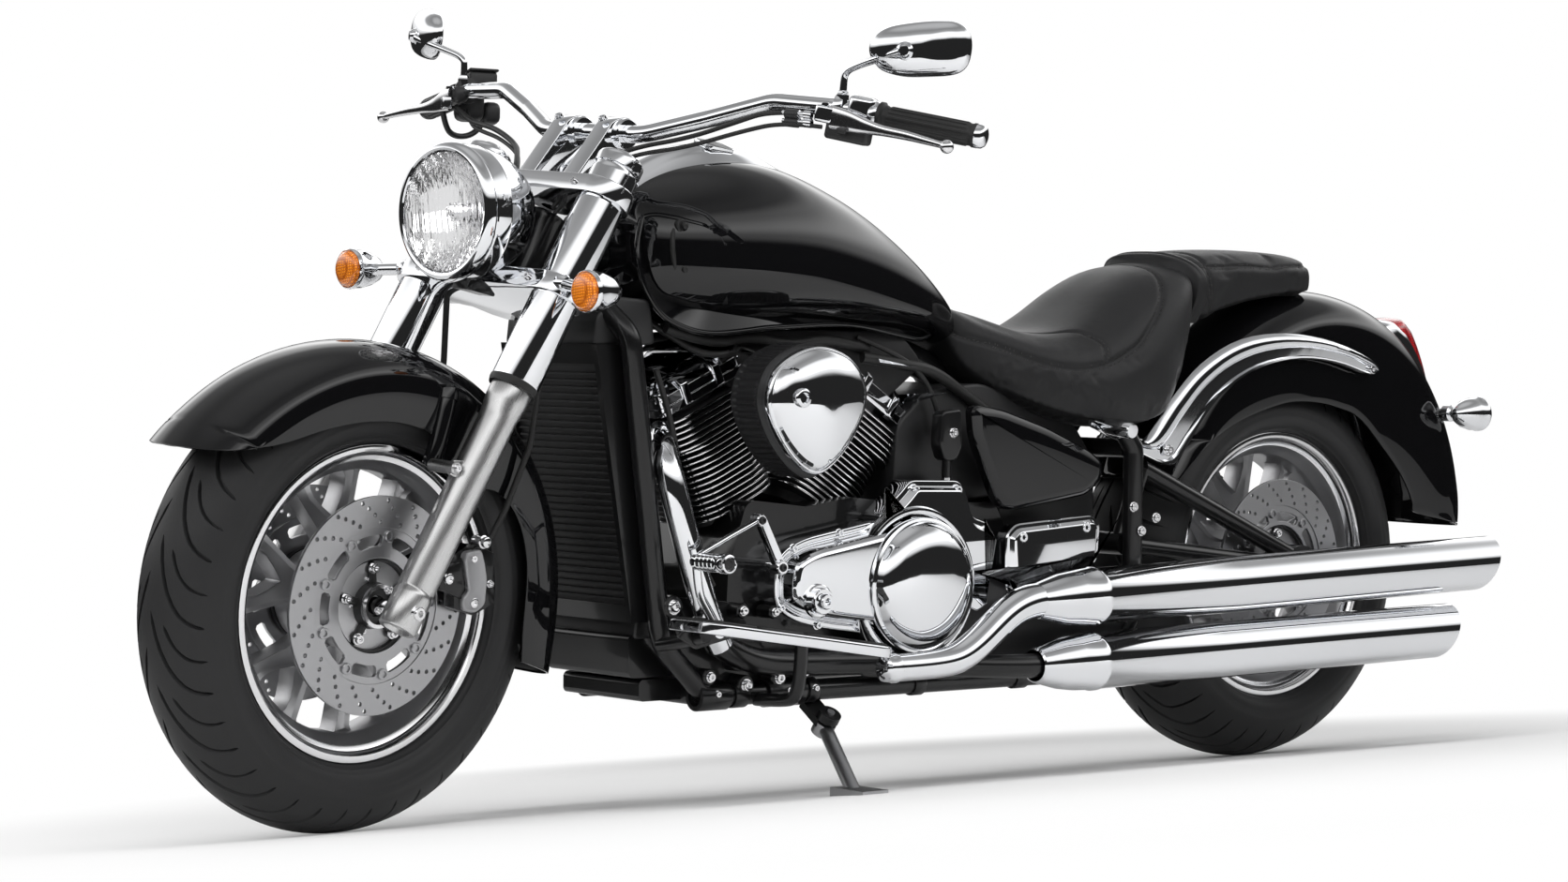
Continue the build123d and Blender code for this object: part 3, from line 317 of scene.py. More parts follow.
def make_prisms():
    """Small moulded cells, bright in the middle, with painted shade along their edges: a deeper colour there
    stands for the shade of the facets.
    """
    group, given, out = effect(
        "prisms", {"Scale": 260, "Edge": 0.3}, ["Deep", "Bright"], ["Colour", "Height"]
    )
    cells = node(group, "TexVoronoi", [
        ("Vector", given.outputs["Vector"]), ("Scale", given.outputs["Scale"]), ("Randomness", 0.15),
    ], feature="DISTANCE_TO_EDGE")
    share = node(group, "MapRange", [("Value", cells.outputs[0]), ("From Max", given.outputs["Edge"])])
    # Painted shade: each cell turns to the deep colour towards its edges.
    mixed = node(group, "Mix", [("Factor", share.outputs[0])], data_type="RGBA")
    group.links.new(given.outputs["Deep"], mixed.inputs["A"])
    group.links.new(given.outputs["Bright"], mixed.inputs["B"])
    group.links.new(mixed.outputs["Result"], out.inputs["Colour"])
    group.links.new(cells.outputs[0], out.inputs["Height"])
    return group


PRISMS = make_prisms()


def make_lens(name, colour, deep, glow):
    """Moulded lamp plastic: coloured, clear over a bright prism pattern whose cell edges carry painted shade
    in the deep colour.
    """
    finish = Finish(name, Coat_Weight=1.0, Coat_Roughness=0.03, Roughness=0.22, Emission_Strength=glow)
    # deep is the painted shade on the cell edges, both in the colour and in the faint glow.
    cells = finish.group(PRISMS, Deep=(*deep, 1), Bright=(*colour, 1))
    finish.tree.links.new(cells.outputs["Colour"], finish.shader.inputs["Base Color"])
    finish.tree.links.new(cells.outputs["Colour"], finish.shader.inputs["Emission Color"])
    return finish.bumped(cells.outputs["Height"], 0.001, 0.6).material


thread = make_finish("thread", (0.02, 0.018, 0.018), 200, 0.3, 0.7, 0.1, Sheen_Weight=0.2)
mirror_silver = make_finish("mirror_silver", (0.9, 0.91, 0.92), 4, 0.02, 0.02, 0.01, Metallic=1.0)

amber_lens = make_lens("amber_lens", AMBER, AMBER_EDGE_SHADE, 0.12)
red_lens = make_lens("red_lens", RED, RED_EDGE_SHADE, 0.1)

glass = Finish("glass", IOR=1.45, Roughness=0.02, Transmission_Weight=1.0).material

CAD_FINISH = {
    mirror_silver: "mirror_glasses",
    chrome: "air_cleaner_cover fork_clamps fork_covers front_indicators gearbox_cover handlebar headers "
            "headlight_shell mirrors mufflers primary_cover rear_indicators risers rocker_covers "
            "tank_console tool_covers",
    black_paint: "front_fender fuel_tank rear_fender side_covers",
    frame_black: "frame_cradle swingarm headlight_bracket radiator_shroud lower_boxes engine_case "
                 "right_covers",
    satin_black: "air_cleaner_body cylinders radiator switch_housings",
    brushed_alloy: "fork_sliders",
    cast_alloy: "front_rim rear_rim hand_levers foot_pegs side_stand",
    polished_alloy: "front_axle rear_axle fender_rails floorboards",
    disc_steel: "front_discs rear_disc drive_pulley output_pulley",
    caliper_grey: "front_calipers rear_caliper",
    tyre_rubber: "front_tyre rear_tyre",
    black_rubber: "grips board_pads drive_belt brake_hoses",
    leather: "rider_seat pillion_pad",
    amber_lens: "front_lenses",
    red_lens: "tail_lamp rear_lenses",
    glass: "headlight_lens",
}


def dress_nodes():
    """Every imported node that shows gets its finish."""
    for finish, names in CAD_FINISH.items():
        for name in names.split():
            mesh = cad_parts[name].data
            mesh.materials.clear()
            mesh.materials.append(finish)


dress_nodes()


# ------------------------------------------------------------------ ways of making a mesh
def deselect():
    if bpy.context.object and bpy.context.object.mode != "OBJECT":
        bpy.ops.object.mode_set(mode="OBJECT")
    bpy.ops.object.select_all(action="DESELECT")


def only(piece):
    """Selects one piece and makes it the active one."""
    deselect()
    piece.select_set(True)
    bpy.context.view_layer.objects.active = piece


def edit(piece, select="SELECT"):
    """Opens one piece in edit mode, with all of it or none of it selected."""
    only(piece)
    bpy.ops.object.mode_set(mode="EDIT")
    bpy.ops.mesh.select_mode(type="VERT")
    bpy.ops.mesh.select_all(action=select)


def leave():
    bpy.ops.object.mode_set(mode="OBJECT")
    return bpy.context.object


def trace(name, points, closed=False):
    """A line drawn through points by extruding one vertex, left in edit mode."""
    deselect()
    bpy.ops.mesh.primitive_plane_add(size=1)
    bpy.context.object.name = name
    bpy.ops.object.mode_set(mode="EDIT")
    bpy.ops.mesh.select_mode(type="VERT")
    bpy.ops.mesh.select_all(action="SELECT")
    bpy.ops.mesh.merge(type="CENTER")
    bpy.ops.transform.translate(value=points[0])
    for here, there in zip(points, points[1:]):
        bpy.ops.mesh.extrude_vertices_move(TRANSFORM_OT_translate={"value": there - here})
    bpy.ops.mesh.select_all(action="SELECT")
    if closed:
        bpy.ops.mesh.edge_face_add()


def turned(name, profile, centre, axis, side, steps=64, closed=False):
    """A profile of (along the axis, radius) points spun about an axis."""
    centre = Vector(centre)
    points = [centre + axis * along + side * radius for along, radius in profile]
    trace(name, points + points[:1] if closed else points)
    bpy.ops.mesh.spin(steps=steps, angle=math.tau, center=centre, axis=axis)
    bpy.ops.mesh.select_all(action="SELECT")
    bpy.ops.mesh.remove_doubles(threshold=0.01)
    bpy.ops.mesh.normals_make_consistent(inside=False)
    return leave()


def side_turned(name, profile, centre, steps=64, closed=False):
    """A profile spun about a line that runs to the left through a point."""
    return turned(name, profile, centre, ACROSS, UP, steps, closed)


def plate(name, outline, corner, across, up, depth, inset=0, sunk=0):
    """An outline of (across, up) points with a thickness, its faces sunk inside an even margin."""
    corner = Vector(corner)
    trace(name, [corner + across * u + up * v for u, v in outline], closed=True)
    normal = across.cross(up).normalized()
    bpy.ops.mesh.extrude_region_move(TRANSFORM_OT_translate={"value": normal * depth})
    bpy.ops.mesh.select_all(action="SELECT")
    bpy.ops.mesh.normals_make_consistent(inside=False)
    piece = leave()
    if inset:
        for way in (1, -1):
            pick_faces(piece, lambda face: face.normal.dot(normal * way) > 0.99)
            bpy.ops.mesh.inset(thickness=inset, depth=-sunk)
            leave()
    return piece


def side_plate(name, outline, x, depth, inset=0, sunk=0):
    """A plate that faces left; its outline has (Y, Z) points."""
    return plate(name, outline, ACROSS * x, ALONG, UP, depth, inset, sunk)


def pick_faces(piece, wanted):
    """Opens a piece with only the faces that wanted() likes selected."""
    edit(piece, "DESELECT")
    bpy.ops.mesh.select_mode(type="FACE")
    made = bmesh.from_edit_mesh(piece.data)
    for face in made.faces:
        face.select_set(bool(wanted(face)))
    bmesh.update_edit_mesh(piece.data)


def skin(name, across, along, place, closed=False):
    """A grid whose points are placed by place(u, v), with u and v from 0 to 1. Where the two sides
    meet and the ends are filled, it is closed."""
    deselect()
    bpy.ops.mesh.primitive_grid_add(x_subdivisions=across, y_subdivisions=along, size=1)
    piece = bpy.context.object
    piece.name = name
    for vertex in piece.data.vertices:
        vertex.co = place(vertex.co.x + 0.5, vertex.co.y + 0.5)
    edit(piece)
    bpy.ops.mesh.remove_doubles(threshold=0.01)
    if closed:
        bpy.ops.mesh.fill_holes(sides=0)
    bpy.ops.mesh.normals_make_consistent(inside=False)
    return leave()


def pipe(name, points, radius, order=3, rings=12, thick=None):
    """A round tube along one smooth curve, made a mesh; thick gives each point its share of radius."""
    deselect()
    bpy.ops.curve.primitive_nurbs_path_add()
    piece = bpy.context.object
    piece.name = name
    curve = piece.data
    curve.splines.clear()
    spline = curve.splines.new("NURBS")
    spline.points.add(len(points) - 1)
    for number, point in enumerate(points):
        spline.points[number].co = (*point, 1)
        spline.points[number].radius = thick[number] if thick else 1
    spline.order_u = order
    spline.use_endpoint_u = True
    spline.resolution_u = 8
    curve.bevel_depth = radius
    curve.bevel_resolution = rings // 4
    curve.use_fill_caps = True
    bpy.ops.object.convert(target="MESH")
    return bpy.context.object


def modify(piece, kind, **settings):
    """Adds a modifier and applies it."""
    only(piece)
    change = piece.modifiers.new(kind.lower(), kind)
    for key, value in settings.items():
        setattr(change, key, value)
    bpy.ops.object.modifier_apply(modifier=change.name)
    return piece


def rounded(piece, width, segments=2, angle=30):
    return modify(
        piece, "BEVEL", width=width, segments=segments, limit_method="ANGLE", angle_limit=math.radians(angle),
        harden_normals=False,
    )


def copied(piece, matrix):
    """A copy with its own mesh, carried by a matrix."""
    twin = piece.copy()
    twin.data = piece.data.copy()
    twin.data.transform(matrix)
    if matrix.determinant() < 0:
        twin.data.flip_normals()
    bpy.context.scene.collection.objects.link(twin)
    return twin


def joined(name, pieces):
    deselect()
    for piece in pieces:
        piece.select_set(True)
    bpy.context.view_layer.objects.active = pieces[0]
    if len(pieces) > 1:
        bpy.ops.object.join()
    pieces[0].name = name
    return pieces[0]


def about(centre, axis, angle):
    return Matrix.Translation(centre) @ Matrix.Rotation(angle, 4, axis) @ Matrix.Translation(-centre)


def ringed(name, piece, count, centre, axis, start=0):
    """count copies of a piece evenly round an axis, in place of the piece."""
    turns = [about(centre, axis, start + math.tau * number / count) for number in range(count)]
    pieces = [copied(piece, turn) for turn in turns]
    bpy.data.objects.remove(piece)
    return joined(name, pieces)


def mirrored(piece):
    """The piece and its twin on the other side of the machine."""
    return joined(piece.name, [piece, copied(piece, Matrix.Scale(-1, 4, ACROSS))])


def paired(name, pieces):
    """Pieces of the left side, joined, with their twins on the right."""
    return mirrored(joined(name, pieces))


def arc(start, middle, end, steps):
    """Points on the arc from start through middle to end, in a plane."""
    (ax, ay), (bx, by), (cx, cy) = start, middle, end
    twice = 2 * (ax * (by - cy) + bx * (cy - ay) + cx * (ay - by))
    a2, b2, c2 = ax * ax + ay * ay, bx * bx + by * by, cx * cx + cy * cy
    x = (a2 * (by - cy) + b2 * (cy - ay) + c2 * (ay - by)) / twice
    y = (a2 * (cx - bx) + b2 * (ax - cx) + c2 * (bx - ax)) / twice
    radius = math.hypot(ax - x, ay - y)
    first, mid, last = (math.atan2(v - y, u - x) for u, v in (start, middle, end))
    left = (last - first) % math.tau
    sweep = left if (mid - first) % math.tau < left else left - math.tau
    return [(
        x + radius * math.cos(first + sweep * step / steps),
        y + radius * math.sin(first + sweep * step / steps)
    ) for step in range(steps + 1)]


def curve_through(four, t):
    """The row at t, from 0 to 1, between the middle two of four rows, by a curve through them."""
    return [
        0.5 * (2 * b + (c - a) * t + (2 * a - 5 * b + 4 * c - d) * t * t + (3 * b - a - 3 * c + d) * t ** 3)
        for a, b, c, d in zip(*four)
    ]


def smooth_row(rows, v):
    """A row of numbers between the rows of a table; v runs from 0 to 1."""
    place = min(max(v, 0), 1) * (len(rows) - 1)
    first = min(int(place), len(rows) - 2)
    last = len(rows) - 1
    return curve_through([rows[min(max(first + shift, 0), last)] for shift in (-1, 0, 1, 2)], place - first)


def smooth_loop(rows, u):
    """A row of numbers between the rows of a table that closes on itself; u runs from 0 to 1."""
    place = (u % 1) * len(rows)
    first = int(place)
    return curve_through([rows[(first + shift) % len(rows)] for shift in (-1, 0, 1, 2)], place - first)


TURNING = ("fork", "front_wheel")  # the bodies that stand turned with the steering


def dress(piece, finish, body, replaces=(), smooth=35, second=None, where=None):
    """Carries a piece to where it stands, smooths it, gives it its finish and its body.
    where(face) picks, on the upright machine, the faces that take the second finish."""
    if second:
        chosen = [bool(where(face)) for face in piece.data.polygons]
    piece.data.transform(STEERED if body in TURNING else STANDING)
    piece.data.materials.clear()
    piece.data.materials.append(finish)
    if second:
        piece.data.materials.append(second)
        for face, taken in zip(piece.data.polygons, chosen):
            face.material_index = int(taken)
    only(piece)
    bpy.ops.object.shade_smooth_by_angle(angle=math.radians(smooth))
    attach(piece, body)
    if replaces:
        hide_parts(*replaces)
    return piece


# ------------------------------------------------------------------ fasteners
def socket_bolt(name, at, way, radius, height):
    """A socket-head bolt standing on a point, on its washer."""
    washer, key = radius * 1.25, radius * 0.5
    return turned(name, [
        (0, 0), (0, washer), (height * 0.2, washer), (height * 0.2, radius), (height * 0.9, radius),
        (height, radius * 0.88), (height, key), (height * 0.5, key), (height * 0.5, 0),
    ], at, way, way.orthogonal().normalized(), 12)


def side_bolts(x, places, radius, height):
    """Like bolts on the left side, at (Y, Z) points of one plane."""
    return [socket_bolt("head", (x, y, z), ACROSS, radius, height) for y, z in places]


# ------------------------------------------------------------------ wheels
RIM_R, SEAT_R, TYRE_R = 217, 203, 323


def tyre_outline(half, bead, drop, steps=10):
    """The outside of half a tyre, from the bead to the crown, with a raised ring on its wall."""
    edge, edge_r, mid_r = half - 4, TYRE_R - drop, 246
    wall = arc((bead, RIM_R + 1), (half, mid_r), (edge, edge_r), 2 * steps)
    tread = arc((edge, edge_r), (0, TYRE_R), (-edge, edge_r), 4 * steps)[1:2 * steps + 1]
    ridge = {4: -1.2, 5: 0.6, 6: -0.8, 15: -1.0}
    shaped = [(x + ridge.get(number, 0), r) for number, (x, r) in enumerate(wall)]
    return shaped + tread


def groove(name, route, width, depth, axle, half, drop):
    """One cutter for a tread groove; route has (distance from the middle, degrees round) points."""
    edge, edge_r = half - 4, TYRE_R - drop
    crown = arc((edge, edge_r), (0, TYRE_R), (-edge, edge_r), 60)

    def surface(x):
        near = min(crown, key=lambda point: abs(point[0] - x))
        return near[1]

    def place(u, v):
        x, turn = smooth_row(route, v)
        ahead, turn_ahead = smooth_row(route, min(v + 0.02, 1))
        behind, turn_behind = smooth_row(route, max(v - 0.02, 0))
        run = Vector((ahead - behind, math.radians(turn_ahead - turn_behind) * TYRE_R))
        run.normalize()
        spread, rise = ((-1, 3), (-0.55, -depth), (0.55, -depth), (1, 3), (-1, 3))[round(u * 4)]
        taper = 1 if 0 < v < 1 else 0.2
        spread *= width / 2 * taper
        if v in (0, 1) and rise < 0:
            rise = -0.3 * depth
        at = x - run.y * spread
        angle = math.radians(turn) + run.x * spread / TYRE_R
        radius = surface(x) + rise
        return axle + ACROSS * at + (UP * math.cos(angle) - ALONG * math.sin(angle)) * radius

    return skin(name, 4, 10, place, closed=True)


def make_tyre(label, axle, half, bead, drop, pitches, body):
    outside = tyre_outline(half, bead, drop)
    wall = [(-x, r) for x, r in outside[::-1][1:]]
    profile = outside + wall + [
        (2 - bead, SEAT_R), (14 - bead, SEAT_R), (14 - bead, 226), (14 - half, 250), (22 - half, 262),
        (0, TYRE_R - 14), (half - 22, 262), (half - 14, 250), (bead - 14, 226), (bead - 14, SEAT_R),
        (bead - 2, SEAT_R),
    ]
    tyre = side_turned(label, profile, axle, 120, closed=True)
    step = 360 / pitches
    long_route = [(5, 0), (14, 6), (28, 13), (44, 18.5), (58, 21), (half - 9, 22)]
    mid_route = [(26, 3), (38, 8), (52, 11.5), (half - 8, 13)]
    cutters = []
    for side in (1, -1):
        for route, width in ((long_route, 7), (mid_route, 5.5)):
            shift = step / 2 if side < 0 else 0
            bent = [(x * side, turn + shift) for x, turn in route]
            cutters.append(groove("cutter", bent, width, 5, axle, half, drop))
    cutter = ringed("cutters", joined("cutter", cutters), pitches, axle, ACROSS)
    modify(tyre, "BOOLEAN", object=cutter, operation="DIFFERENCE", solver="EXACT")
    bpy.data.objects.remove(cutter)
    dress(tyre, tyre_rubber, body, [label], smooth=40)


def make_rim(label, axle, bead, depth, hub, body):
    """A cast wheel: stepped polished lips, a drop-centre barrel and six forked spokes."""
    lip = [(bead - 2, SEAT_R + 2), (bead, RIM_R - 2), (bead + 2, RIM_R + 1), (bead + 5, RIM_R + 1),
           (bead + 6, RIM_R - 2), (bead + 5, 209), (bead + 1, 205), (bead - 5, 203), (bead - 7, 199),
           (bead - 8, 196), (bead - 13, 192), (bead - 22, 188), (bead - 26, 183), (bead - 30, 181)]
    outer = [(bead - 12, SEAT_R), (bead - 30, 187)]
    profile = lip + [(-x, r) for x, r in lip[::-1]] + [(-x, r) for x, r in outer] + outer[::-1]
    barrel = side_turned("barrel", profile, axle, 96, closed=True)
    branch = [(50, 26), (74, 21.5), (92, 22), (108, 28), (132, 39), (156, 50), (168, 56), (176, 65)]
    inner = [(180, 29), (170, 31), (156, 27), (140, 16), (128, 6), (122, 1.5)]
    outline = branch + inner + [(r, -v) for r, v in inner[::-1]] + [(r, -v) for r, v in branch[::-1]]
    spoke = plate("spoke", outline, axle - ACROSS * depth, ALONG, UP, 2 * depth, 4.5, 7)
    rounded(spoke, 1.6)
    spokes = ringed("spokes", spoke, 6, axle, ACROSS, math.radians(-15))
    hub_profile = [(0, 66), (hub - 14, 66), (hub - 4, 64), (hub - 2, 60), (hub - 2, 12), (2 - hub, 12),
                   (2 - hub, 60), (4 - hub, 64), (14 - hub, 66)]
    core = side_turned("core", hub_profile, axle, 64, closed=True)
    rim = joined(label + "_cast", [barrel, spokes, core])

    def is_lip(face):
        middle = face.center
        return abs(middle.x) > bead - 10 and (middle.yz - axle.yz).length > 196

    dress(rim, cast_alloy, body, [label], 30, polished_alloy, is_lip)


make_tyre("front_tyre", FRONT_AXLE, 75, 52, 54, 20, "front_wheel")
make_tyre("rear_tyre", REAR_AXLE, 100, 72, 58, 20, "rear_wheel")
make_rim("front_rim", FRONT_AXLE, 52, 17, 70, "front_wheel")
make_rim("rear_rim", REAR_AXLE, 72, 20, 84, "rear_wheel")


def cut_ring(name, outer, inner, holes, thickness, bevel):
    """A flat ring about the origin, in X and Y; a hole is (x, y, radius) or a longer row of points."""
    shape = bpy.data.curves.new(name, "CURVE")
    shape.dimensions = "2D"
    shape.fill_mode = "BOTH"
    shape.extrude = thickness / 2 - bevel
    shape.bevel_depth = bevel
    shape.bevel_resolution = 1

    def loop(points):
        spline = shape.splines.new("POLY")
        spline.points.add(len(points) - 1)
        for number, (x, y) in enumerate(points):
            spline.points[number].co = (x, y, 0, 1)
        spline.use_cyclic_u = True

    def circle(x, y, radius, steps):
        return [(x + radius * math.cos(math.tau * k / steps), y + radius * math.sin(math.tau * k / steps))
                for k in range(steps)]

    loop(circle(0, 0, outer, 96))
    loop(circle(0, 0, inner, 72))
    for hole in holes:
        if len(hole) == 3:
            loop(circle(*hole, 10))
        else:
            loop(hole)
    piece = bpy.data.objects.new(name, shape)
    bpy.context.scene.collection.objects.link(piece)
    only(piece)
    bpy.ops.object.convert(target="MESH")
    return bpy.context.object


def arc_slot(low, high, start, end, corner=4, steps=8):
    """A slot between two radii and two angles, with eased corners."""
    points = []
    for radius, order in ((low, 1), (high, -1)):
        ease = math.degrees(corner / radius)
        inset = corner if radius == low else -corner
        run = [start + ease + (end - start - 2 * ease) * k / steps for k in range(steps + 1)]
        ends = [(radius + inset, start), *[(radius, angle) for angle in run], (radius + inset, end)]
        points += ends if order > 0 else ends[::-1]
    return [(r * math.cos(math.radians(a)), r * math.sin(math.radians(a))) for r, a in points]


def make_disc(name, axle, x, outer, slots, side, body, replaces=()):
    """A drilled disc on its slotted carrier, with a bobbin between each pair of slots."""
    facing = Matrix(((0, 0, side, 0), (1, 0, 0, 0), (0, 1, 0, 0), (0, 0, 0, 1)))
    onto = Matrix.Translation(axle + ACROSS * x * side) @ facing
    inner = outer - 42
    rows, hole_r = 20, 3.6
    drilled = []
    for turn in range(rows):
        for share, shift in ((0.16, 0), (0.4, 4.5), (0.64, 9), (0.86, 13)):
            angle = math.radians(turn * 360 / rows + shift)
            radius = inner + (outer - inner) * share
            drilled.append((radius * math.cos(angle), radius * math.sin(angle), hole_r))
    blade = cut_ring(name + "_blade", outer, inner, drilled, 5, 0.5)
    step = 360 / slots
    windows = []
    for k in range(slots):
        windows.append(arc_slot(inner - 27, inner - 10, step * k + step * 0.14, step * k + step * 0.86))
    carrier = cut_ring(name + "_carrier", inner - 1, 66, windows, 6, 0.8)
    carrier.data.transform(Matrix.Translation((0, 0, -2)))
    pieces = [blade, carrier]
    for k in range(slots):
        angle = math.radians(step * k)
        at = Vector((math.cos(angle), math.sin(angle), 0)) * (inner - 12)
        pieces.append(turned(
            "bobbin", [(1, 8), (4.2, 8), (5, 7), (5, 4.6), (2.6, 4), (2.6, 0)], at, UP, ACROSS, 16
        ))
    disc = joined(name, pieces)
    disc.data.transform(onto)
    dress(disc, disc_steel, body, replaces, 30)


make_disc("left_front_disc", FRONT_AXLE, 76, 150, 9, 1, "front_wheel", ["front_discs"])
make_disc("right_front_disc", FRONT_AXLE, 76, 150, 9, -1, "front_wheel")
make_disc("left_rear_disc", REAR_AXLE, 90, 140, 7, 1, "rear_wheel", ["rear_disc"])


def make_hub(label, axle, x, side, body):
    """The black middle of a wheel inside its disc: a ring, five arms and their bolts."""
    way = ACROSS * side
    shell = turned(label, [
        (-14, 66), (-4, 66), (-4, 62), (-12, 58), (-13, 34), (4, 30), (8, 30), (8, 25), (2, 24), (2, 15),
        (-14, 15),
    ], axle + way * x, way, UP, 60, closed=True)
    arm = plate(
        "arm", [(22, 6), (60, 4.5), (60, -4.5), (22, -6)], axle + way * (x - 12), ALONG * side, UP, 10
    )
    rounded(arm, 1.5)
    arms = ringed("arms", arm, 5, axle, ACROSS, 0.4)
    dress(joined(label, [shell, arms]), satin_black, body)
    ring = turned(
        label + "_ring", [(6, 30.5), (10, 30), (10, 25), (6, 24.5)], axle + way * x, way, UP, 48, closed=True
    )

    def round_hub(angle, radius, out):
        return axle + (ALONG * side * math.cos(angle) + UP * math.sin(angle)) * radius + way * out

    caps = []
    for k in range(5):
        angle = 0.4 + math.tau * k / 5
        caps.append(socket_bolt("cap", round_hub(angle, 52, x - 3), way, 6.5, 8))
        caps.append(socket_bolt("cap", round_hub(angle + 0.2, 38, x - 10), way, 3.2, 5))
    dress(joined(label + "_bolts", [ring, *caps]), polished_alloy, body)


for side, label in ((1, "left"), (-1, "right")):
    make_hub(label + "_front_hub", FRONT_AXLE, 76, side, "front_wheel")
make_hub("left_rear_hub", REAR_AXLE, 90, 1, "rear_wheel")


# ------------------------------------------------------------------ fenders
def polar(axle, angle, radius, x):
    """A point about an axle, by degrees up from straight ahead."""
    turn = math.radians(angle)
    return Vector((x, axle.y - radius * math.cos(turn), axle.z + radius * math.sin(turn)))


def fender_point(centre, across, row, half, crown_drop):
    """A point of a fender's section; across runs from -1 on the right edge to 1 on the left one."""
    angle, crown, edge = row
    share, side = abs(across), math.copysign(1, across)
    top = crown - crown_drop
    reach = math.acos(min(max(1 - (crown - edge) / crown_drop, 0), 1))  # how far down the round part runs
    bend = 0.55 if edge < top else 1
    if share < bend:
        turn = share / bend * reach
        return polar(
            centre, angle, crown - crown_drop * (1 - math.cos(turn)), side * half * math.sin(turn) ** 0.9
        )
    down = (share - bend) / (1 - bend) if bend < 1 else 0
    low = min(edge, top)
    if bend == 1:
        return polar(centre, angle, max(edge, top), side * half * math.sin(reach) ** 0.9)
    return polar(centre, angle, top + (low - top) * down, side * (half + 1.2 * math.sin(down * math.pi)))


FRONT_FENDER = (  # degrees up from ahead, crown radius, radius of the skirt's edge
    (35.8, 372, 371.5), (38, 370.5, 352), (42, 368, 326), (48, 364, 300), (55.9, 361, 280), (68.9, 358, 264),
    (82.6, 357, 255), (93.4, 357, 251), (103.8, 357, 247), (108, 357, 243), (110.5, 357, 238),
    (112.5, 357, 214), (118, 357, 208), (128, 357, 212), (137, 357, 230), (144, 357, 252), (155, 357, 264),
    (168, 357, 265), (180, 357.5, 261), (189, 359, 262), (195, 362, 268), (199, 365, 274),
)


def make_front_fender():
    def place(u, v):
        return fender_point(FRONT_AXLE, 2 * u - 1, smooth_row(FRONT_FENDER, v), 92, 50)

    shell = skin("front_fender_shell", 56, 96, place)
    modify(shell, "SOLIDIFY", thickness=3.2, offset=-1)
    rounded(shell, 0.8, 2, 50)
    dress(shell, black_paint, "fork", ["front_fender"], 50)
    rib = pipe("front_fender_rib", (
        (84, -792, 616), (90, -794, 612), (92, -806, 566), (92, -818, 524), (88, -820, 514)
    ), 13, 3, 16)
    cap = pipe("rib_cap", [(86, -793, 616), (88, -794, 611), (89, -796, 604)], 15.5, 3, 16)
    dress(paired("front_fender_rib", [rib, cap]), black_paint, "fork", smooth=60)


make_front_fender()

ARCH_CENTRE = Vector((0, 1000, 410))
REAR_FENDER = (  # degrees up from ahead, crown radius, radius of the skirt's edge
    (8, 414, 372), (20, 394, 326), (35, 385, 270), (46, 374, 238), (58, 368, 214), (70, 366, 194),
    (82, 366, 180), (94, 366, 171), (104, 366, 168), (116, 365, 162), (128, 362, 157), (140, 359, 158),
    (152, 358, 166), (163, 359, 178), (171, 361, 188), (177, 364, 196), (182, 365, 205), (184.5, 365, 290),
    (185.5, 365, 330),
)


def make_rear_fender():
    def place(u, v):
        return fender_point(ARCH_CENTRE, 2 * u - 1, smooth_row(REAR_FENDER, v), 116, 68)

    shell = skin("rear_fender_shell", 56, 96, place)
    modify(shell, "SOLIDIFY", thickness=3.2, offset=-1)
    rounded(shell, 0.8, 2, 50)
    dress(shell, black_paint, "chassis", ["rear_fender"], 50)


make_rear_fender()


def strap_outline(top, bottom):
    """The points of a band's upper edge and back along its lower edge, both made smooth."""
    steps = 36
    upper = [smooth_row(top, k / steps) for k in range(steps + 1)]
    lower = [smooth_row(bottom, k / steps) for k in range(steps + 1)]
    return upper, lower


def make_fender_strut():
    """The chrome band along each side of the rear fender, from the frame to its rear end."""
    top = [
        (398, 566), (452, 555), (510, 533), (548, 545), (600, 600), (658, 649), (739, 687), (832, 701),
        (936, 696), (1024, 677), (1083, 654),
    ]
    bottom = [(398, 556), (452, 536), (520, 510), (592, 493), (632, 530), (668, 572), (713, 611), (786, 646),
              (880, 663), (976, 657), (1064, 634)]
    upper, lower = strap_outline(top, bottom)
    rail = 15

    def place(u, v):
        step = v * (len(upper) - 1)
        k = min(int(step), len(upper) - 2)
        t = step - k
        high = Vector(upper[k]).lerp(Vector(upper[k + 1]), t)
        low = Vector(lower[k]).lerp(Vector(lower[k + 1]), t)
        ring = [
            (0, 0), (-0.05, 0.35), (0.02, 0.72), (0.13, 0.97), (0.27, 1), (0.4, 0.8), (0.46, 0.45),
            (0.84, 0.4), (0.88, 0.75), (0.96, 0.8), (1.02, 0.5), (1, 0), (0, 0),
        ]
        share, lift = ring[round(u * (len(ring) - 1))]
        taper = math.sqrt(1 - max(0, 1 - (1 - v) * 22) ** 2)
        share = 0.5 + (share - 0.5) * max(taper, 0.1)
        y, z = high.lerp(low, share)
        stand = 127 if y > 560 else 127 + (560 - y) * 0.1
        return Vector((stand + lift * rail, y, z))

    band = skin("fender_strut", 12, 72, place, closed=True)
    band = mirrored(band)
    dress(band, chrome, "chassis", ["fender_rails"], 40)
    heads = [socket_bolt("head", (side * x, y, z), ACROSS * side, 7.5, 7)
             for side in (1, -1) for x, y, z in ((141, 462, 545), (138, 580, 516), (133, 1064, 646))]
    dress(joined("fender_strut_bolts", heads), polished_alloy, "chassis")


make_fender_strut()


# ------------------------------------------------------------------ fuel tank
TANK = (  # Y, half width, top Z, widest Z, bottom Z
    (-452, 62, 868, 806, 742), (-440, 92, 892, 806, 727), (-410, 122, 915, 800, 712),
    (-350, 152, 938, 792, 702), (-270, 170, 950, 786, 699), (-180, 170, 944, 778, 702),
    (-90, 158, 918, 764, 702), (0, 138, 879, 748, 698), (90, 110, 825, 732, 692), (160, 78, 775, 716, 684),
    (205, 46, 738, 704, 678), (222, 20, 716, 698, 684),
)


